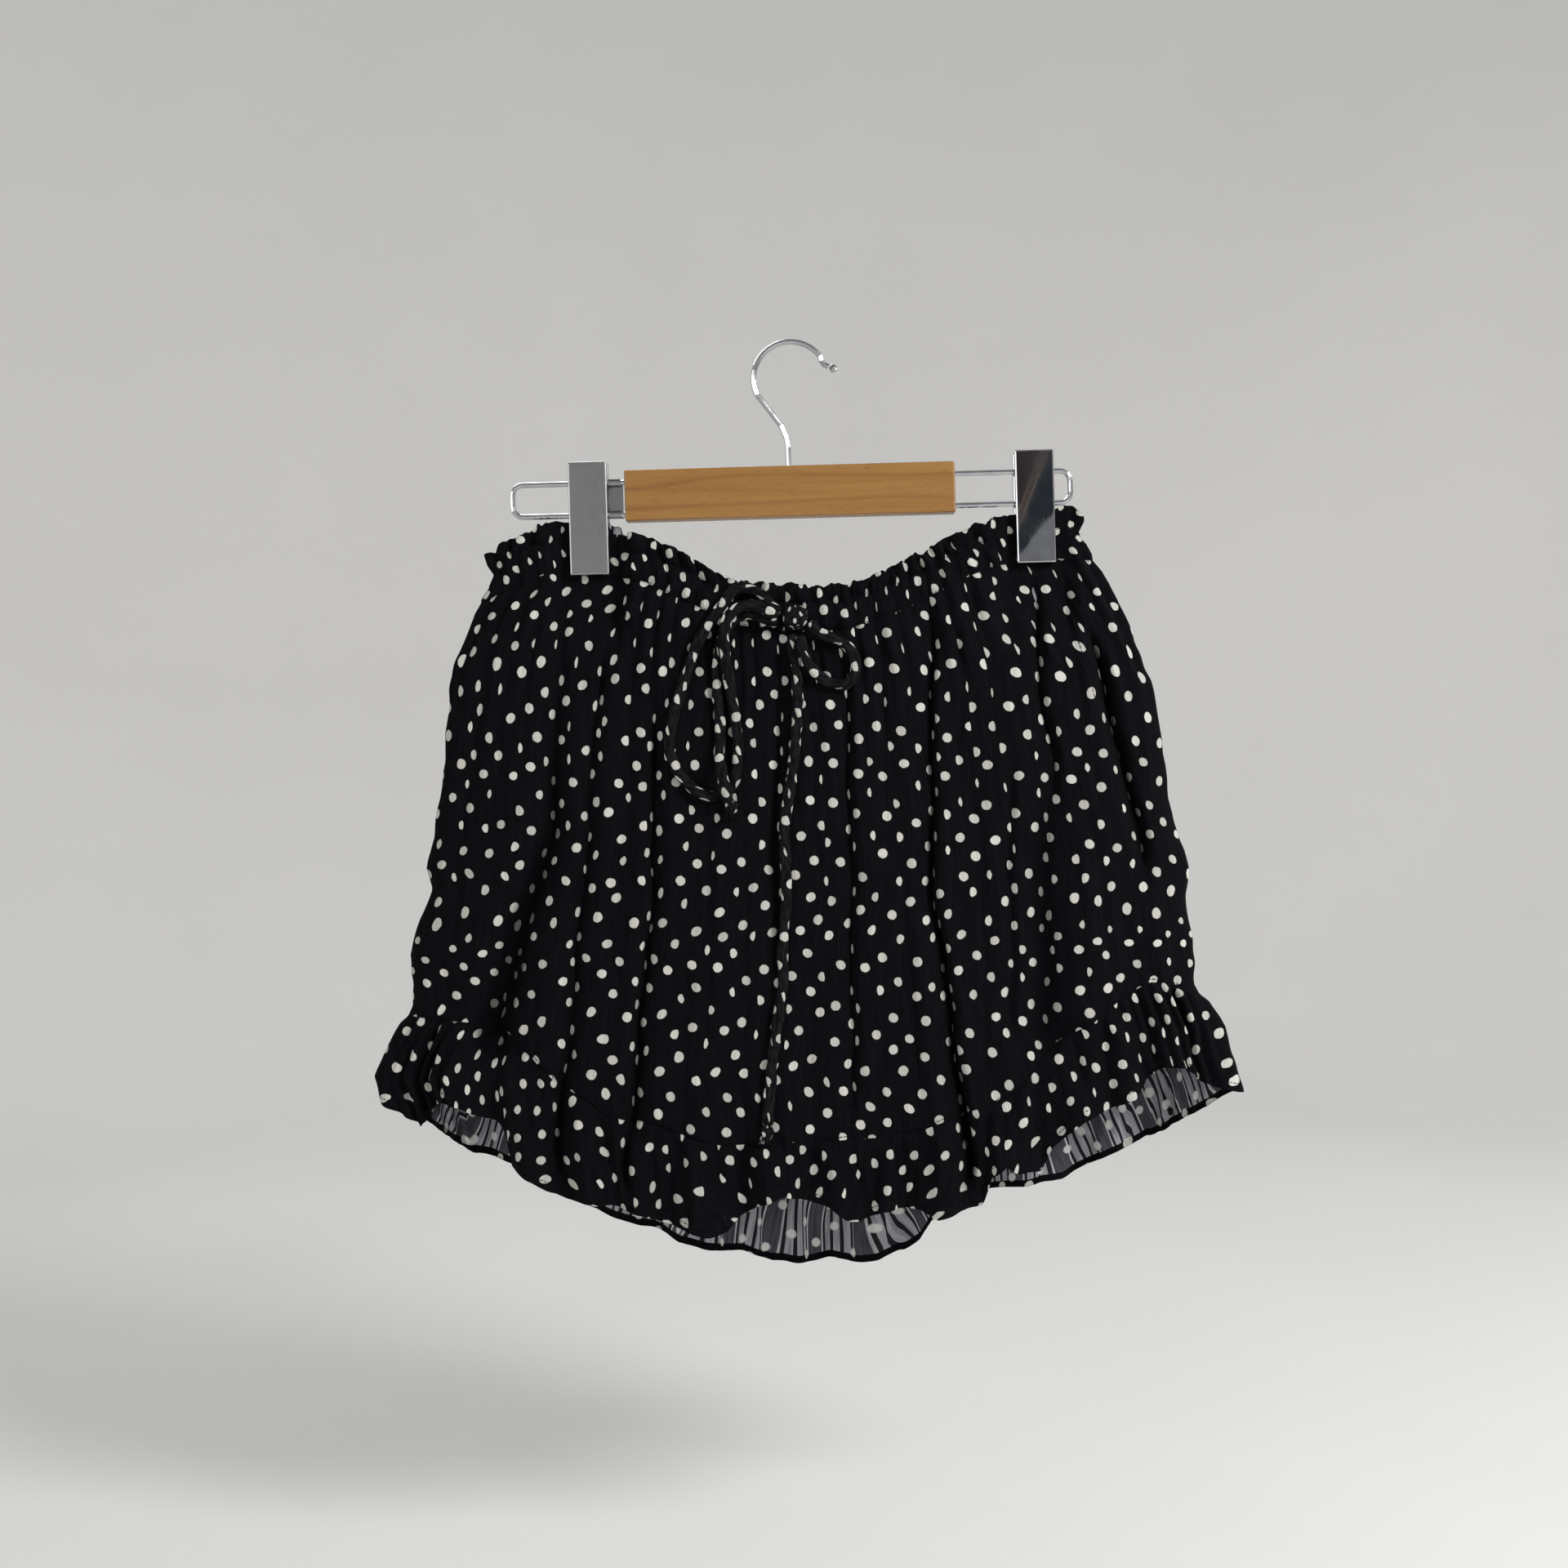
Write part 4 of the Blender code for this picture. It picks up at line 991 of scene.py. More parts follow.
    def middle(self, side: Side, angle: Array, z: Array) -> Array:
        """Places the middle of the cloth.

        Args:
            side: Front or back.
            angle: Angle round the half.
            z: Height.

        Returns:
            The middle's points.
        """
        x, y, share = self.section(side, angle, z)
        x0, y0, _ = self.section(side, angle - 1e-3, z)
        x1, y1, _ = self.section(side, angle + 1e-3, z)
        run = np.hypot(x1 - x0, y1 - y0)
        out, slip = self.relief(side, share, x, z)
        sway = 1.7 * value_noise(z / 23.0, 0.0 * z, 91) + 0.6 * value_noise(z / 9.0, 0.0 * z, 92)
        x = x + sway * ease((seam_share(share) - 0.88) / 0.12) * ease((-150.0 - z) / 20.0)
        x = x - side.value * (y1 - y0) / run * out + slip
        return np.stack([x, y + side.value * (x1 - x0) / run * out, z + 0.0 * x], axis=-1)

    def frame_at(self, side: Side, angle: Array, z: Array) -> tuple[Array, Array]:
        """Places the middle of the cloth and faces it.

        Args:
            side: Front or back.
            angle: Angle round the half.
            z: Height.

        Returns:
            The middle's points and the outward normals.
        """
        turn_step, fall_step = 2.5e-3, 0.6
        turn = self.middle(side, angle + turn_step, z) - self.middle(side, angle - turn_step, z)
        fall = self.middle(side, angle, z - fall_step) - self.middle(side, angle, z + fall_step)
        normal = np.cross(turn, fall) * side.value
        return self.middle(side, angle, z), normal / np.linalg.norm(normal, axis=-1, keepdims=True)

    def print_place(self, side: Side, zone: Zone, middle: Array, angle: Array, z: Array) -> Array:
        """Where each point lies on the flat cloth, so that the print is round on it and cut by its folds.

        Args:
            side: Front or back.
            zone: Strip of the garment.
            middle: Middle of the cloth, row by row.
            angle: Angle round the half.
            z: Height.

        Returns:
            The two cloth coordinates of each point, in metres.
        """
        x, y, share = self.section(side, angle, z)
        ruffle = zone is Zone.RUFFLE
        more = self.waist_more_cut_mm if zone is Zone.WAIST else 0.0
        cut = self.ruffle_cut_mm[side] if ruffle else self.cut_mm + more
        steps = np.linalg.norm(np.diff(middle[..., : 3 if ruffle else 2], axis=1), axis=2)
        walked = np.pad(np.cumsum(steps, axis=1), ((0, 0), (1, 0)))
        if zone is Zone.BODY:
            walked = walked + self.folded_away(side, x, z)
        walked = blur(len(z), self.smooth_down_mm / np.abs(np.diff(z, axis=0)).mean()) @ walked
        lacking = (share * cut - walked) @ blur(share.shape[1], self.smooth_across_mm / steps.mean()).T
        count = self.ruffles[side] if ruffle else self.gathers[side]
        if zone is Zone.WAIST or (ruffle and side is Side.FRONT):
            count *= 2
        phase = self.phase(share, 0.7 if ruffle else 0.0)
        whole = np.floor(count * phase)
        stairs = (whole + ease((count * phase - whole - 0.5) / self.stair_share + 0.5)) / count
        across = walked + np.stack([np.interp(*row) for row in zip(stairs, phase, lacking)])
        seed = (110 if side is Side.FRONT else 160) + (20 if ruffle else 0)
        if ruffle:
            rise = np.gradient(z, axis=1)
            run = np.hypot(np.gradient(x, axis=1), np.gradient(y, axis=1))
            tilt = (rise / np.hypot(rise, run)) @ blur(share.shape[1], self.smooth_tilt_mm / steps.mean()).T
            level = np.sqrt(1.0 - tilt**2)
            across = across + level * (x - x[:1]) - tilt * (z[:1] - z)
            down = level * (z[:1] - z) + tilt * (x - x[:1]) + RUFFLE_PRINT_DOWN
        else:
            span = self.flare_span_mm
            high, low = [0.5 * (self.girth(z + up, 2) - self.girth(z + up, 1)) for up in (span, -span)]
            flare = 0.5 * (high + low) * (high - low) / (2.0 * span)
            down = -z - self.flare_bow * flare * seam_share(share) ** 2
        down = down + 1.0 * value_noise(share * cut / 15.0, z / 20.0, seed)
        return np.stack([across + (0.0 if side is Side.FRONT else BACK_PRINT_ACROSS), down], axis=-1) * MM

    def folded_away(self, side: Side, x: Array, z: Array) -> Array:
        """Cloth hidden in the folds to the left of each point, beyond what the folds' own walls take.

        Args:
            side: Front or back.
            x: Place across.
            z: Height.

        Returns:
            Its width in millimetres.
        """
        hidden = np.zeros_like(x)
        for row in FOLDS_FRONT if side is Side.FRONT else FOLDS_BACK:
            centre, _, depth = fold_run(row, z)
            wide = self.lapped_mm if row[10] else self.open_fold_mm
            hidden += 0.6 * depth * ease((x - centre) / wide + 0.5)
        return hidden

    def shade(self, side: Side, angle: Array, z: Array) -> Array:
        """How far each point lies in the dark of a fold, from 0 to 1."""
        x, _, _ = self.section(side, angle, z)
        return ease((self.valleys(side, x, z)[0] - self.shade_from_mm) / self.shade_over_mm)

    def angles(self, count: int) -> Array:
        """Column angles at even steps along the girth.

        Args:
            count: Number of columns.

        Returns:
            One angle more than that.
        """
        fine = np.linspace(0.0, math.pi, 6001)
        x, y, _ = self.section(Side.FRONT, fine, np.full_like(fine, -330.0))
        walked = walk(np.stack([x, y], axis=1))
        return np.interp(np.linspace(0.0, walked[-1], count + 1), walked, fine)


def new_mesh(name: str, points: list, faces: list, looks: list) -> bpy.types.Mesh:
    """Makes a mesh.

    Args:
        name: Its name.
        points: Its points, in metres.
        faces: Its faces, as point numbers.
        looks: Its materials.

    Returns:
        The mesh.
    """
    mesh = bpy.data.meshes.new(name)
    mesh.from_pydata(points, [], faces)
    for look in looks:
        mesh.materials.append(look)
    return mesh


def mesh_object(
    name: str, points: Array, faces: list, looks: list, uv: Array | None = None, slots: Array | None = None
) -> bpy.types.Object:
    """Makes a smooth-shaded piece that rides on the hanger.

    Args:
        name: The piece's name.
        points: Its points, in millimetres.
        faces: Its faces, as point numbers.
        looks: Its materials.
        uv: Each point's place on the flat cloth, in metres.
        slots: Each face's material number.

    Returns:
        The new object, with its place in its mesh.
    """
    mesh = new_mesh(name, (points * MM).tolist(), faces, looks)
    mesh.polygons.foreach_set("use_smooth", [True] * len(mesh.polygons))
    if slots is not None:
        mesh.polygons.foreach_set("material_index", slots.astype(np.int32))
    if uv is not None:
        layer = mesh.uv_layers.new(name="cloth")
        corners = np.empty(len(mesh.loops), np.int32)
        mesh.loops.foreach_get("vertex_index", corners)
        layer.uv.foreach_set("vector", uv[corners].astype(np.float32).ravel())
    mesh.update()
    made = placed(name, mesh)
    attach(made, "root")
    return made


@dataclass
class ClothPanel:
    """One strip of cloth on one half of the garment, as a thin shell closed round its rim."""

    form: GarmentForm
    side: Side
    zone: Zone
    columns: int
    rows: int
    flat_m: tuple[float, float]
    wall_mm: float = 1.0
    turned_hem_mm: float = 5.5

    @property
    def node(self) -> str:
        """Name of the CAD node that this panel stands for."""
        return f"{self.zone.value}_{self.side.name.lower()}"

    def heights(self, angle: Array) -> Array:
        """Height of every row at every column.

        Args:
            angle: Column angles.

        Returns:
            Rows by columns.
        """
        share = self.form.share(angle)
        top, casing, seam, hem = self.form.lines(self.side, share)
        edges = {Zone.WAIST: (top, casing), Zone.BODY: (casing, seam), Zone.RUFFLE: (seam, hem)}
        high, low = edges[self.zone]
        part = np.linspace(0.0, 1.0, self.rows + 1)[:, None]
        if self.zone is Zone.WAIST:
            free = 1.0 - self.form.pinch(self.form.section(self.side, angle, top)[0], top)
            high = high + 1.5 * free * value_noise(share * 86.0, 0.0 * share, 5)
            high = high + 0.9 * (0.35 + 0.65 * free) * value_noise(share * 190.0, 0.0 * share, 6)
        if self.zone is Zone.RUFFLE:
            curl = value_noise(share * 55.0, 0.0 * share, 7)
            low = low + 0.9 * curl * np.clip(14.0 * share * (1.0 - share), 0.0, 1.0)
        return high + (low - high) * part

    def build(self, face: Material, back: Material) -> bpy.types.Object:
        """Builds the panel.

        Args:
            face: The printed side.
            back: The wrong side.

        Returns:
            The panel's object.
        """
        angle = self.form.angles(self.columns)
        z = self.heights(angle)
        angle = np.broadcast_to(angle, z.shape)
        middle, normal = self.form.frame_at(self.side, angle, z)
        outer, inner = middle + normal * self.wall_mm / 2.0, middle - normal * self.wall_mm / 2.0
        for layer in (outer, inner):
            layer[..., 1] += self.side.value * self.form.seam_gap / 2.0
            layer[:, (0, -1), 1] = self.side.value * self.form.seam_gap / 2.0
        uv = self.form.print_place(self.side, self.zone, middle, angle, z).reshape(-1, 2)
        points = np.concatenate([outer.reshape(-1, 3), inner.reshape(-1, 3)])
        faces, slots = self.shell_faces(z)
        name = f"cloth_{self.node}"
        made = mesh_object(name, points, faces.tolist(), [face, back], np.concatenate([uv, uv]), slots)
        # Painted shade in the folds, stored for the outer side only
        shade = self.form.shade(self.side, angle, z).ravel()
        layer = made.data.attributes.new("shade", "FLOAT", "POINT")
        layer.data.foreach_set("value", np.concatenate([shade, 0.0 * shade]).astype(np.float32))
        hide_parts(self.node)
        LOG.info("%s: %d faces", name, len(faces))
        return made

    def shell_faces(self, z: Array) -> tuple[Array, Array]:
        """Lists the shell's faces.

        Args:
            z: Height of every row at every column.

        Returns:
            The faces, all outwards, and each one's material number.
        """
        rows, columns = z.shape
        index = np.arange(rows * columns).reshape(rows, columns)
        quads = np.stack([index[:-1, :-1], index[:-1, 1:], index[1:, 1:], index[1:, :-1]], axis=-1)
        outside = quads.reshape(-1, 4)
        behind = rows * columns
        inside = behind + outside[:, ::-1]
        rims = []
        for edge in (index[0, ::-1], index[-1], index[:, 0], index[::-1, -1]):
            rims.append(np.stack([edge[:-1], behind + edge[:-1], behind + edge[1:], edge[1:]], axis=-1))
        rim = np.concatenate(rims)
        if self.zone is Zone.RUFFLE:
            wrong = (z[:-1, :-1] - z[-1:, :-1] > self.turned_hem_mm).astype(int)
        else:
            wrong = np.ones((rows - 1, columns - 1), int)
        slots = np.concatenate([np.zeros(len(outside), int), wrong.ravel(), np.zeros(len(rim), int)])
        faces = np.concatenate([outside, inside, rim])
        return (faces[:, ::-1] if self.side is Side.FRONT else faces), slots


@dataclass
class StitchRow:
    """A row of machine stitches, each a small raised dash of thread lying on the cloth."""

    form: GarmentForm
    side: Side
    pitch_mm: float = 3.2
    long_mm: float = 2.5
    thread_mm: float = 0.5

    def dashes(self, path: Array, normal: Array) -> tuple[Array, Array]:
        """Makes a six-sided dash at even steps along a path.

        Args:
            path: Points on the cloth.
            normal: Outward normals there.

        Returns:
            Points and four-cornered faces.
        """
        walked = walk(path)
        centres = np.arange(self.pitch_mm, walked[-1] - self.pitch_mm, self.pitch_mm)
        ends = []
        for away in (-0.5, -0.3, 0.3, 0.5):
            at = centres + away * self.long_mm
            ends.append((pick(at, walked, path), pick(at, walked, normal)))
        along = ends[3][0] - ends[0][0]
        along /= np.linalg.norm(along, axis=1, keepdims=True)
        points, faces = [], []
        for (place, up), thick in zip(ends, (0.35, 1.0, 1.0, 0.35)):
            across = np.cross(along, up)
            for turn in np.arange(6) * math.pi / 3.0:
                lift = up * (0.1 + math.sin(turn) * thick * 0.5)
                points.append(place + self.thread_mm * (lift + across * math.cos(turn) * thick * 0.5))
        points = np.stack(points, axis=1)
        for ring in range(3):
            for k in range(6):
                low, high = ring * 6, ring * 6 + 6
                faces.append((high + k, high + (k + 1) % 6, low + (k + 1) % 6, low + k))
        faces += [(0, 1, 2, 3), (0, 3, 4, 5), (21, 20, 19, 18), (23, 22, 21, 18)]
        starts = 24 * np.arange(len(centres))[:, None, None]
        return points.reshape(-1, 3), (np.array(faces)[None] + starts).reshape(-1, 4)

    def on_line(self, height: Array, angle: Array, wall: float) -> tuple[Array, Array]:
        """Dashes along a height line.

        Args:
            height: The line's height at each angle.
            angle: Angles round the half.
            wall: The cloth's thickness.

        Returns:
            Points and faces.
        """
        middle, normal = self.form.frame_at(self.side, angle, height)
        return self.dashes(middle + normal * wall / 2.0, normal)


@dataclass
class Sewing:
    """The machine stitching that shows: the casing's two rows, the ruffle's seam, the hem and the pocket."""

    form: GarmentForm
    wall_mm: float = 1.0
    above_seam_mm: float = 2.4
    above_hem_mm: float = 5.6
    pocket_inset_mm: float = 8.5
    tack_at: tuple[float, float] = (-24.6, -183.0)

    def build(self, thread: Material) -> list[bpy.types.Object]:
        """Sews both halves.

        Args:
            thread: The thread's material.

        Returns:
            One object of stitches for each half.
        """
        made = []
        angle = self.form.angles(900)[8:-8]
        share = self.form.share(angle)
        for side in Side:
            top, casing, seam, hem = self.form.lines(side, share)
            row = StitchRow(self.form, side)
            header = top - (top - casing) * HEADER_DROP / CASING_DROP
            runs = [header, casing + 1.0, seam + self.above_seam_mm, hem + self.above_hem_mm]
            parts = [row.on_line(height, angle, self.wall_mm) for height in runs]
            if side is Side.FRONT:
                parts += [self.pocket(row), self.tack()]
            points, faces, start = [], [], 0
            for place, ring in parts:
                points.append(place)
                faces.append(ring + start)
                start += len(place)
            name = f"stitching_{side.name.lower()}"
            made.append(mesh_object(name, np.concatenate(points), np.concatenate(faces).tolist(), [thread]))
            LOG.info("%s: %d stitches", name, start // 24)
        return made

    def pocket(self, row: StitchRow) -> tuple[Array, Array]:
        """Dashes down the edge of the pocket's mouth.

        Args:
            row: The front's stitch row.

        Returns:
            Points and faces.
        """
        z = np.linspace(-192.0, -322.0, 160)
        x = np.interp(-z, (186.0, 255.0, 322.0), (184.0, 199.0, 214.0)) - self.pocket_inset_mm
        turn = np.array([self.turn_at(across, height) for across, height in zip(x, z)])
        return row.on_line(z, turn, self.wall_mm)

    def turn_at(self, x: float, z: float) -> float:
        """Angle round the front at a place."""
        angle = np.linspace(0.0, math.pi, 4001)
        return np.interp(x, self.form.section(Side.FRONT, angle, np.full_like(angle, z))[0], angle)

    def tack(self) -> tuple[Array, Array]:
        """The close bar of stitches where the tie comes out of the casing.

        Returns:
            Points and faces.
        """
        z = np.linspace(-178.5, -187.0, 40)
        turn = np.full_like(z, self.turn_at(*self.tack_at))
        bar = StitchRow(self.form, Side.FRONT, pitch_mm=0.75, long_mm=0.68, thread_mm=1.5)
        return bar.on_line(z, turn, self.wall_mm)


def smooth_path(rows: Array, spacing: float) -> Array:
    """Evenly spaced points on a smooth curve.

    Args:
        rows: Points that the curve goes through.
        spacing: Distance between the new points.

    Returns:
        The new points.
    """
    rows = np.array(rows, float)
    ends = np.vstack([2 * rows[0] - rows[1], rows, 2 * rows[-1] - rows[-2]])
    fine = []
    for i in range(1, len(ends) - 2):
        p0, p1, p2, p3 = ends[i - 1 : i + 3]
        for t in np.linspace(0.0, 1.0, 24, endpoint=False):
            bend = 2 * p0 - 5 * p1 + 4 * p2 - p3
            fine.append(p1 + 0.5 * t * (p2 - p0 + t * (bend + t * (3 * p1 - p0 - 3 * p2 + p3))))
    fine = np.array(fine + [ends[-2]])
    walked = walk(fine)
    count = max(2, round(walked[-1] / spacing)) + 1
    return pick(np.linspace(0.0, walked[-1], count), walked, fine)


@dataclass
class Drawstring:
    """The tie: a folded strip of the same cotton, in a bow with two loops, two tails and knotted ends."""

    form: GarmentForm
    radius: float = 3.2
    flat: float = 0.72
    around: int = 36
    step_mm: float = 1.4
    unfolded_mm: float = 19.0
    twist: float = 0.35
    crumple: float = 0.13
    folds: tuple[tuple[float, float, float, float], ...] = (
        # start, pitch, depth, cloth hidden
        (0.0, 13.4, 0.27, 5.5),
        (1.15, 9.2, 0.20, 4.0),
        (2.2, 21.0, 0.22, 4.5),
    )
    knot_at: tuple[float, float] = (-2.0, -178.0)
    knot_size: tuple[float, float, float] = (17.0, 11.0, 15.0)
    end_size: tuple[float, float, float] = (8.4, 8.0, 9.0)

    def __post_init__(self) -> None:
        """Samples the cloth's front, for the cords to lie on."""
        angle = self.form.angles(420)
        z = np.linspace(-120.0, -540.0, 300)[:, None] * np.ones_like(angle)
        middle, normal = self.form.frame_at(Side.FRONT, np.broadcast_to(angle, z.shape), z)
        self.ground = (middle + 0.5 * normal).reshape(-1, 3)

    def front(self, x: float, z: float, reach: float) -> float:
        """How far forward the cloth stands near a place."""
        near = np.hypot(self.ground[:, 0] - x, self.ground[:, 2] - z) < reach
        return float(self.ground[near, 1].min())

    def route(self, rows: tuple) -> Array:
        """A strand's centreline on the cloth.

        Args:
            rows: x, z and lift off the cloth.

        Returns:
            Points about step_mm apart.
        """
        path = smooth_path(rows, 1.2 * self.radius)
        floor = np.array([self.front(x, z, self.radius + 1.2) for x, z, _ in path])
        padded = np.pad(floor, 3, mode="edge")
        lowest = np.array([padded[i : i + 7].min() for i in range(len(floor))])
        padded = np.pad(lowest, 3, mode="edge")
        eased = np.array([padded[i : i + 7].mean() for i in range(len(floor))])
        y = eased - self.radius * self.flat - 0.2 - path[:, 2]
        kept = np.unique(np.round(np.linspace(0, len(y) - 1, max(3, len(y) // 2 + 1))).astype(int))
        return smooth_path(np.stack([path[:, 0], y, path[:, 1]], axis=1)[kept], self.step_mm)

    def strand(self, name: str, path: Array, seed: int, look: Material) -> bpy.types.Object:
        """Builds one crumpled, slightly twisted strand.

        Args:
            name: The piece's name.
            path: Its centreline.
            seed: Picks its creases.
            look: The cloth.

        Returns:
            The strand's object.
        """
        tangent = np.gradient(path, axis=0)
        tangent /= np.linalg.norm(tangent, axis=1, keepdims=True)
        out = np.array([0.0, -1.0, 0.0]) - tangent * (tangent @ np.array([0.0, -1.0, 0.0]))[:, None]
        out /= np.linalg.norm(out, axis=1, keepdims=True)
        across = np.cross(tangent, out)
        along = np.arange(len(path)) * self.step_mm
        twist = self.twist * value_noise(along / 22.0, 0.0 * along, seed)
        ends = np.clip(np.minimum(along + 0.8, along[-1] - along + 0.8) / 2.2, 0.3, 1.0) ** 0.5
        rings, cloth = [], []
        for k in range(self.around):
            turn = 2.0 * math.pi * (k / self.around - 0.25) + twist
            crumple = 1.0 + self.crumple * value_noise(0.0 * along + k / 3.5, along / 4.6, seed + 1)
            hidden = self.unfolded_mm * k / self.around
            for start, pitch, depth, taken in self.folds:
                lag = 0.5 * turn - start - along / pitch
                crumple -= depth * np.exp(-((np.sin(lag) * 5.5) ** 2))
                crumple += 0.3 * depth * np.exp(-((np.sin(lag - 0.35) * 3.5) ** 2))
                passed = lag / math.pi
                jump = ease((passed - np.round(passed)) / 0.05 + 0.5)
                hidden = hidden + taken * (np.floor(passed + 0.5) + jump - 1.0)
            wide = self.radius * ends * crumple
            side, up = np.cos(turn) * wide * 1.06, np.sin(turn) * wide * self.flat
            rings.append(path + across * side[:, None] + out * up[:, None])
            cloth.append(np.stack([hidden * MM, along * MM + 0.01 * seed], axis=1))
        points = np.stack(rings, axis=1)
        uv = np.stack(cloth, axis=1).reshape(-1, 2)
        count = len(path)
        index = np.arange(count * self.around).reshape(count, self.around)
        turned = np.roll(index, -1, axis=1)
        faces = np.stack([index[1:], turned[1:], turned[:-1], index[:-1]], axis=-1).reshape(-1, 4)
        points = np.concatenate([points.reshape(-1, 3), path[[0, -1]]])
        uv = np.concatenate([uv, uv[[0, -1]]])
        first, last = count * self.around, count * self.around + 1
        low = np.stack([index[0], turned[0], 0 * index[0] + first], axis=-1)
        high = np.stack([turned[-1], index[-1], 0 * index[-1] + last], axis=-1)
        return mesh_object(name, points, [*faces.tolist(), *low.tolist(), *high.tolist()], [look], uv)

    def lump(
        self,
        name: str,
        centre: Array,
        size: tuple,
        wraps: float,
        seed: int,
        look: Material,
        frays: int = 0,
    ) -> bpy.types.Object:
        """Builds a knot: a lump with bands of cloth wrapped round it.

        Args:
            name: The piece's name.
            centre: Its middle.
            size: Its full sizes.
            wraps: How many bands.
            seed: Picks its creases.
            look: The cloth.
            frays: How many tufts of yarn hang below it.

        Returns:
            The knot's object.
        """
        up, round_ = 40, 56
        fall, way = np.linspace(0.04, math.pi - 0.04, up), np.arange(round_) * 2 * math.pi / round_
        tilt, turn = np.meshgrid(fall, way, indexing="ij")
        band = np.abs(np.sin(wraps * (tilt + 0.45 * np.sin(turn + seed))))
        swell = 0.82 + 0.2 * band**0.5 + 0.08 * value_noise(turn * 2.0, tilt * 5.0, seed)
        swell = swell * (1.0 + 0.04 * np.sin(3.0 * turn + seed) * np.sin(tilt))
        unit = np.stack([np.sin(tilt) * np.cos(turn), np.sin(tilt) * np.sin(turn), np.cos(tilt)], axis=-1)
        points = np.array(centre) + unit * swell[..., None] * np.array(size) / 2.0
        uv = np.stack([turn * size[0] * 1.2, tilt * size[2] * 0.8], axis=-1).reshape(-1, 2) * MM
        uv = uv + 0.013 * seed
        index = np.arange(up * round_).reshape(up, round_)
        turned = np.roll(index, -1, axis=1)
        faces = np.stack([index[:-1], index[1:], turned[1:], turned[:-1]], axis=-1).reshape(-1, 4)
        faces = [*faces.tolist(), index[0].tolist(), index[-1, ::-1].tolist()]
        points = points.reshape(-1, 3)
        if frays:
            tufts, sides = self.fringe(np.array(centre), size, frays, seed)
            faces += [tuple(len(points) + corner for corner in ring) for ring in sides]
            uv = np.concatenate([uv, tufts[:, [0, 2]] * MM * 0.3 + 0.004])
            points = np.concatenate([points, tufts])
        return mesh_object(name, points, faces, [look], uv)

    def fringe(self, centre: Array, size: tuple, count: int, seed: int) -> tuple[Array, list]:
        """The frayed end below a knot: thin tapered tufts of yarn.

        Args:
            centre: The knot's middle.
            size: The knot's full sizes.
            count: How many tufts.
            seed: Picks their lengths and leans.

        Returns:
            Points and faces.
        """
        draw = np.random.default_rng(seed)
        points, faces = [], []
        for k in range(count):
            turn = 2.0 * math.pi * k / count
            aside = 0.30 * np.array([math.cos(turn) * size[0], math.sin(turn) * size[1] * 0.8, 0.0])
            root = centre + aside + np.array([0.0, 0.0, -0.30 * size[2]])
            lean = aside * draw.uniform(0.5, 1.3) + np.array([draw.uniform(-0.8, 0.8), 0.0, 0.0])
            tip = root + lean + np.array([0.0, 0.0, -draw.uniform(3.6, 6.0)])
            start = len(points)
            for at, thick in ((root, 0.62), ((root + tip) / 2.0, 0.5), (tip, 0.16)):
                for corner in range(4):
                    way = 0.5 * math.pi * corner + turn
                    points.append(at + thick * np.array([math.cos(way), math.sin(way), 0.0]))
            for low in (start, start + 4):
                for corner in range(4):
                    after = (corner + 1) % 4
                    faces.append((low + corner, low + 4 + corner, low + 4 + after, low + after))
            faces.append((start, start + 1, start + 2, start + 3))
            faces.append((start + 11, start + 10, start + 9, start + 8))
        return np.array(points), faces

    def build(self, look: Material) -> None:
        """Builds the bow and its strands.

        Args:
            look: The cloth.
        """
        knot_y = self.front(*self.knot_at, 10.0) - 0.3 - self.knot_size[1] / 2.0
        centre = np.array([self.knot_at[0], knot_y, self.knot_at[1]])
        knot = self.lump("bow_knot", centre, self.knot_size, 2.0, 3, look)
        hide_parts("tie_knot")
        strands = (
            ("loop_left", LOOP_LEFT, 31),
            ("tail_short", TAIL_SHORT, 41),
            ("loop_right", LOOP_RIGHT, 51),
            ("tail_long", TAIL_LONG, 61),
        )
        for name, rows, seed in strands:
            path = self.route(rows)
            piece = self.strand(f"bow_{name}", path, seed, look)
            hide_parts(f"tie_{name}")
            if name.startswith("tail"):
                step = path[-1] - path[-2]
                middle = path[-1] + step / np.linalg.norm(step) * 4.0
                end_name = name.replace("tail", "bow_end")
                end = self.lump(end_name, middle, self.end_size, 1.5, seed + 5, look, 11)
                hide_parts(name.replace("tail", "tie_end"))


@dataclass
class Hanger:
    """The clip hanger: beech bar, plated wire frame and hook, and two sheet-steel clips."""

    satin: Steel = Steel("steel_sheet_satin_plated", colour="#98999a", low=0.27, high=0.34, scratch_mm=0.0015)
    mirror: Steel = Steel(
        "steel_sheet_mirror_plated", low=0.01, high=0.055, streak_mm=(0.8, 0.8, 8.0), scratch_mm=0.0006
    )
    wire: Steel = Steel("steel_wire_chrome", low=0.09, high=0.2, streak_mm=(7.0, 0.5, 0.5))
    spring: Steel = Steel("spring_steel_drawn", colour="#a0a1a4", low=0.28, high=0.42)
    wood: VarnishedBeech = VarnishedBeech()

    def dress(self) -> None:
        """Gives every hard CAD node its finish."""
        satin, mirror, wire = self.satin.make(), self.mirror.make(), self.wire.make()
        spring, wood = self.spring.make(), self.wood.make()
        looks = {
            "hanger_bar": wood,
            "hanger_hook": wire,
            "hanger_hook_tip": wire,
            "hanger_wire_left": wire,
            "hanger_wire_right": wire,
        }
        for label, look in (("left", satin), ("right", mirror)):
            for part in ("front", "rear", "slider"):
                looks[f"clip_{label}_{part}"] = look
            looks[f"clip_{label}_pin"] = spring
            looks[f"clip_{label}_spring"] = spring
        for name, look in looks.items():
            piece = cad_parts[name]
            for slot in piece.material_slots:
                slot.material = look
            LOG.info("%s: %s", name, look.name)


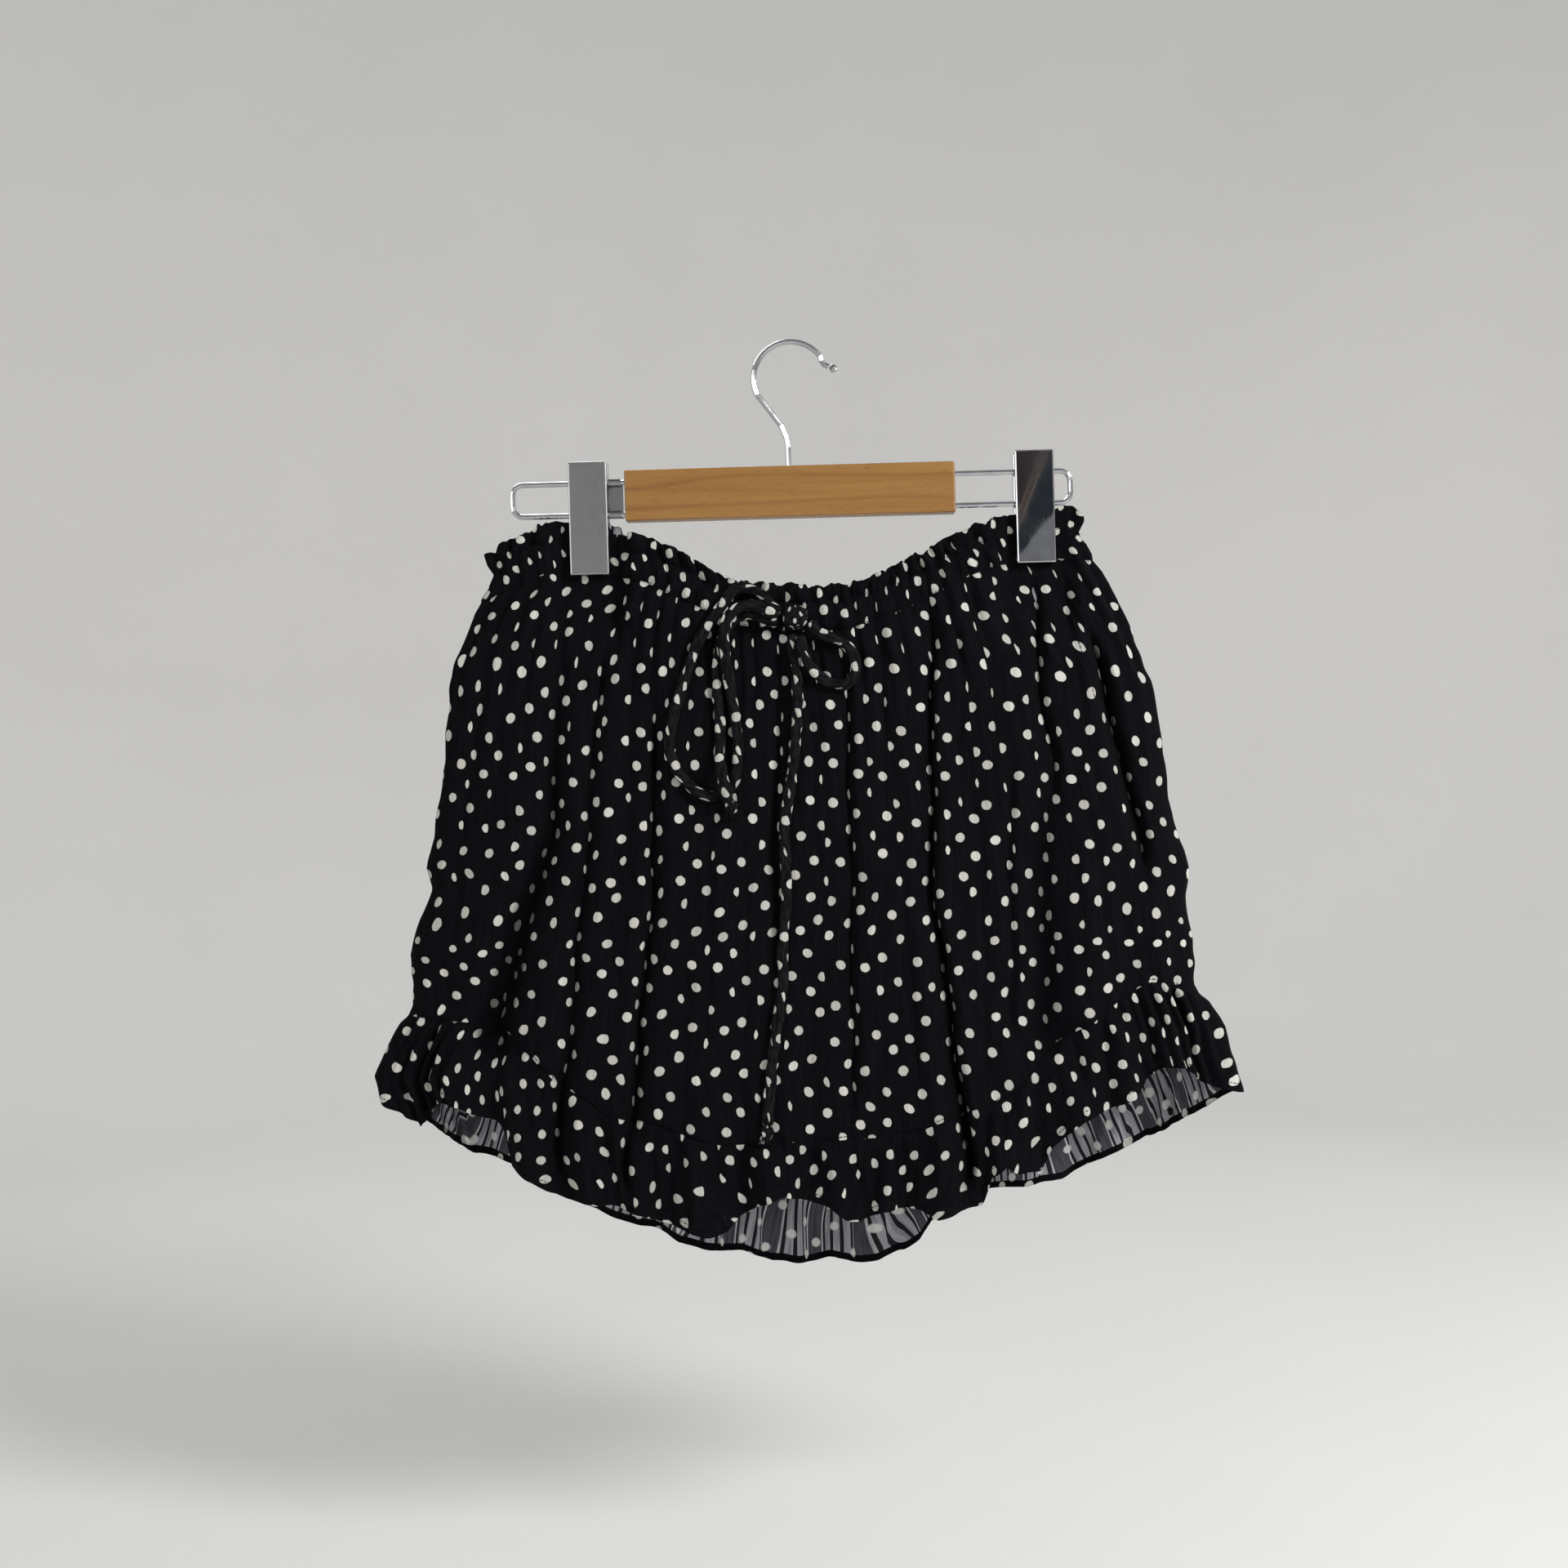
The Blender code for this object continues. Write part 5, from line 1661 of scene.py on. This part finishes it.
@dataclass
class Studio:
    """Camera at the photograph's place, a pale round studio and soft lights."""

    aim: tuple[float, float] = (-0.0119, -0.2826)
    away: float = 1.25
    lens: float = 44.6
    roll: float = math.radians(1.56)
    floor: float = -0.80
    paper_flat_m: float = 1.8
    paper_bend_m: float = 0.9
    paper_high_m: float = 2.8
    paper_steps: int = 72
    card_view: tuple[float, float, float, float] = (0.473, 0.2245, 0.067, 0.206)
    card_slopes: tuple[float, float] = (1.29, 2.79)
    card_waves: tuple[float, float] = (0.10, 0.45)
    card_tones: tuple[tuple[float, str], ...] = (
        # at, colour
        (0.0, "#3a3230"),
        (0.44, "#41373a"),
        (0.458, "#a3968b"),
        (0.476, "#4a3f3b"),
        (0.52, "#4a3f3b"),
        (0.537, "#b0a397"),
        (0.556, "#353c44"),
        (1.0, "#2f363e"),
    )

    def camera(self) -> None:
        """Places the level camera, rolled so that the hanger's right end is a little high."""
        data = bpy.data.cameras.new("camera")
        data.lens = self.lens
        data.sensor_width = 36.0
        data.clip_start = 0.05
        made = placed("camera", data)
        c, s = math.cos(self.roll), math.sin(self.roll)
        turn = Matrix(((c, s, 0.0), (0.0, 0.0, -1.0), (-s, c, 0.0)))
        place = Matrix.Translation((self.aim[0], -self.away, self.aim[1]))
        made.matrix_world = place @ turn.to_4x4()
        bpy.context.scene.camera = made

    def room(self) -> None:
        """A pale floor that curves up into a wall all round."""
        flat, bend = self.paper_flat_m, self.paper_bend_m
        profile = [(1.0, 0.0), (flat, 0.0)]
        for i in range(1, 9):
            turn = math.radians(90.0 * i / 8)
            profile.append((flat + bend * math.sin(turn), bend - bend * math.cos(turn)))
        profile.append((flat + bend, self.paper_high_m))
        points, faces, around = [], [], self.paper_steps
        for r, z in profile:
            for k in range(around):
                turn = 2.0 * math.pi * k / around
                points.append((r * math.cos(turn), r * math.sin(turn), z + self.floor))
        for i in range(len(profile) - 1):
            for k in range(around):
                a, b = i * around + k, i * around + (k + 1) % around
                faces.append((a, a + around, b + around, b))
        faces.append(tuple(range(around)))
        made, tree, shader = new_material("studio_paper")
        mottle = noise(tree, object_place(tree), 3.0, 2.0).outputs[0]
        tone = mixed(tree, mottle, linear("#dddcda"), linear("#e3e2e0"))
        plug(tree, shader, {"Base Color": tone, "Roughness": 0.9})
        mesh = new_mesh("studio", points, faces, [made])
        mesh.polygons.foreach_set("use_smooth", [True] * len(mesh.polygons))
        placed("studio", mesh)

    def cards(self) -> None:
        """Dark streaked cards that only reflections see, which give the plated steel a room's contrast."""
        made, tree, shader = new_material("studio_card")
        place = object_place(tree)
        leaned = stretched(tree, place, Rotation=(0.0, 0.6, 0.0), Scale=(26.0, 1.0, 6.0))
        cloud = noise(tree, leaned, 1.0, 3.0).outputs[0]
        leans = []
        for slope, wave in zip(self.card_slopes, self.card_waves):
            way = (1.0 / self.card_view[2], 0.0, -slope / self.card_view[3])
            offset = -self.card_view[0] * way[0] - self.card_view[1] * way[2] - 0.5 * wave
            along = vector_maths(tree, "DOT_PRODUCT", {0: place, 1: way}).outputs["Value"]
            leans.append(maths(tree, "ADD", along, maths(tree, "MULTIPLY_ADD", cloud, wave, offset)))
        chart = add_node(tree, "ShaderNodeValToRGB", {"Fac": remap(tree, leans[0], (-1.34, 0.66))})
        fill_ramp(chart.color_ramp, self.card_tones)
        streaked = mixed(tree, cloud, linear("#66686b"), linear("#b9babd"))
        tone = mixed(tree, remap(tree, leans[1], (0.68, 0.74)), chart.outputs["Color"], streaked)
        plug(tree, shader, {"Base Color": tone, "Roughness": 0.9})
        shapes = (
            # facing the right clip, on the left, overhead and in front
            ((0.28, -2.4, -0.30), (1.15, -2.4, -0.10), (1.15, -2.4, 0.75), (0.28, -2.4, 0.75)),
            ((-2.2, -0.9, -0.7), (-2.2, 0.5, -0.7), (-2.2, 0.5, 0.9), (-2.2, -0.9, 0.9)),
            ((-0.9, -0.6, 1.7), (0.9, -0.6, 1.7), (0.9, 0.5, 1.7), (-0.9, 0.5, 1.7)),
            ((-0.25, -2.45, 0.2), (0.15, -2.45, 0.2), (0.15, -2.45, 1.4), (-0.25, -2.45, 1.4)),
        )
        for number, corners in enumerate(shapes):
            name = f"card_{number}"
            card = placed(name, new_mesh(name, corners, [(0, 1, 2, 3)], [made]))
            card.visible_camera = card.visible_diffuse = card.visible_shadow = False

    def lights(self) -> None:
        """A large soft key from the right, a weaker fill from the left and a rim from behind."""
        world = bpy.data.worlds.new("studio_air")
        world.use_nodes = True
        world.node_tree.nodes["Background"].inputs["Color"].default_value = linear("#f2f4f7")
        world.node_tree.nodes["Background"].inputs["Strength"].default_value = 0.36
        bpy.context.scene.world = world
        soft = (
            # name, place, power, size
            ("key", (1.45, -1.35, 0.85), 42.0, 0.7),
            ("fill", (-1.6, -1.5, 0.15), 8.0, 1.2),
            ("rim", (-0.6, 1.6, 1.1), 10.0, 1.0),
            ("right", (2.0, 0.3, 0.1), 9.0, 0.8),
        )
        for name, place, power, size in soft:
            data = bpy.data.lights.new(name, "AREA")
            data.energy = power
            data.shape = "DISK"
            data.size = size
            made = placed(name, data)
            made.location = place
            aim = Vector((0.0, 0.0, -0.3)) - Vector(place)
            made.rotation_euler = aim.to_track_quat("-Z", "Y").to_euler()


def main() -> None:
    """Builds the pieces in order."""
    logging.basicConfig(level=logging.INFO, format="%(message)s")
    bpy.context.scene.view_settings.view_transform = "Standard"
    studio = Studio()
    studio.camera()
    form = GarmentForm()
    face, back = DottedCotton().make(), CottonWrongSide().make()
    tie = DottedCotton(
        "crinkle_cotton_tie_strip",
        ground="#060608",
        # The tie's pucker ridges get a brighter painted highlight
        painted_ridge_highlight="#202022",
        pitch_mm=15.0,
        pucker_mm=1.5,
        pucker_long_mm=8.0,
        pucker_deep_mm=0.5,
        ridge_highlight_span=(0.3, 0.75),
    )
    Drawstring(form).build(tie.make())
    panels = (
        (Side.FRONT, Zone.WAIST, 430, 38, (0.60, 0.032), 1.1),
        (Side.FRONT, Zone.BODY, 430, 110, (0.60, 0.312), 0.9),
        (Side.FRONT, Zone.RUFFLE, 430, 44, (0.78, 0.052), 0.9),
        (Side.BACK, Zone.WAIST, 330, 30, (0.60, 0.032), 1.1),
        (Side.BACK, Zone.BODY, 330, 96, (0.60, 0.335), 0.9),
        (Side.BACK, Zone.RUFFLE, 330, 40, (0.78, 0.060), 0.9),
    )
    for side, zone, columns, rows, flat, wall in panels:
        ClothPanel(form, side, zone, columns, rows, flat, wall).build(face, back)
    Sewing(form).build(Thread().make())
    Hanger().dress()
    studio.room()
    studio.cards()
    studio.lights()


if __name__ == "__main__":
    main()
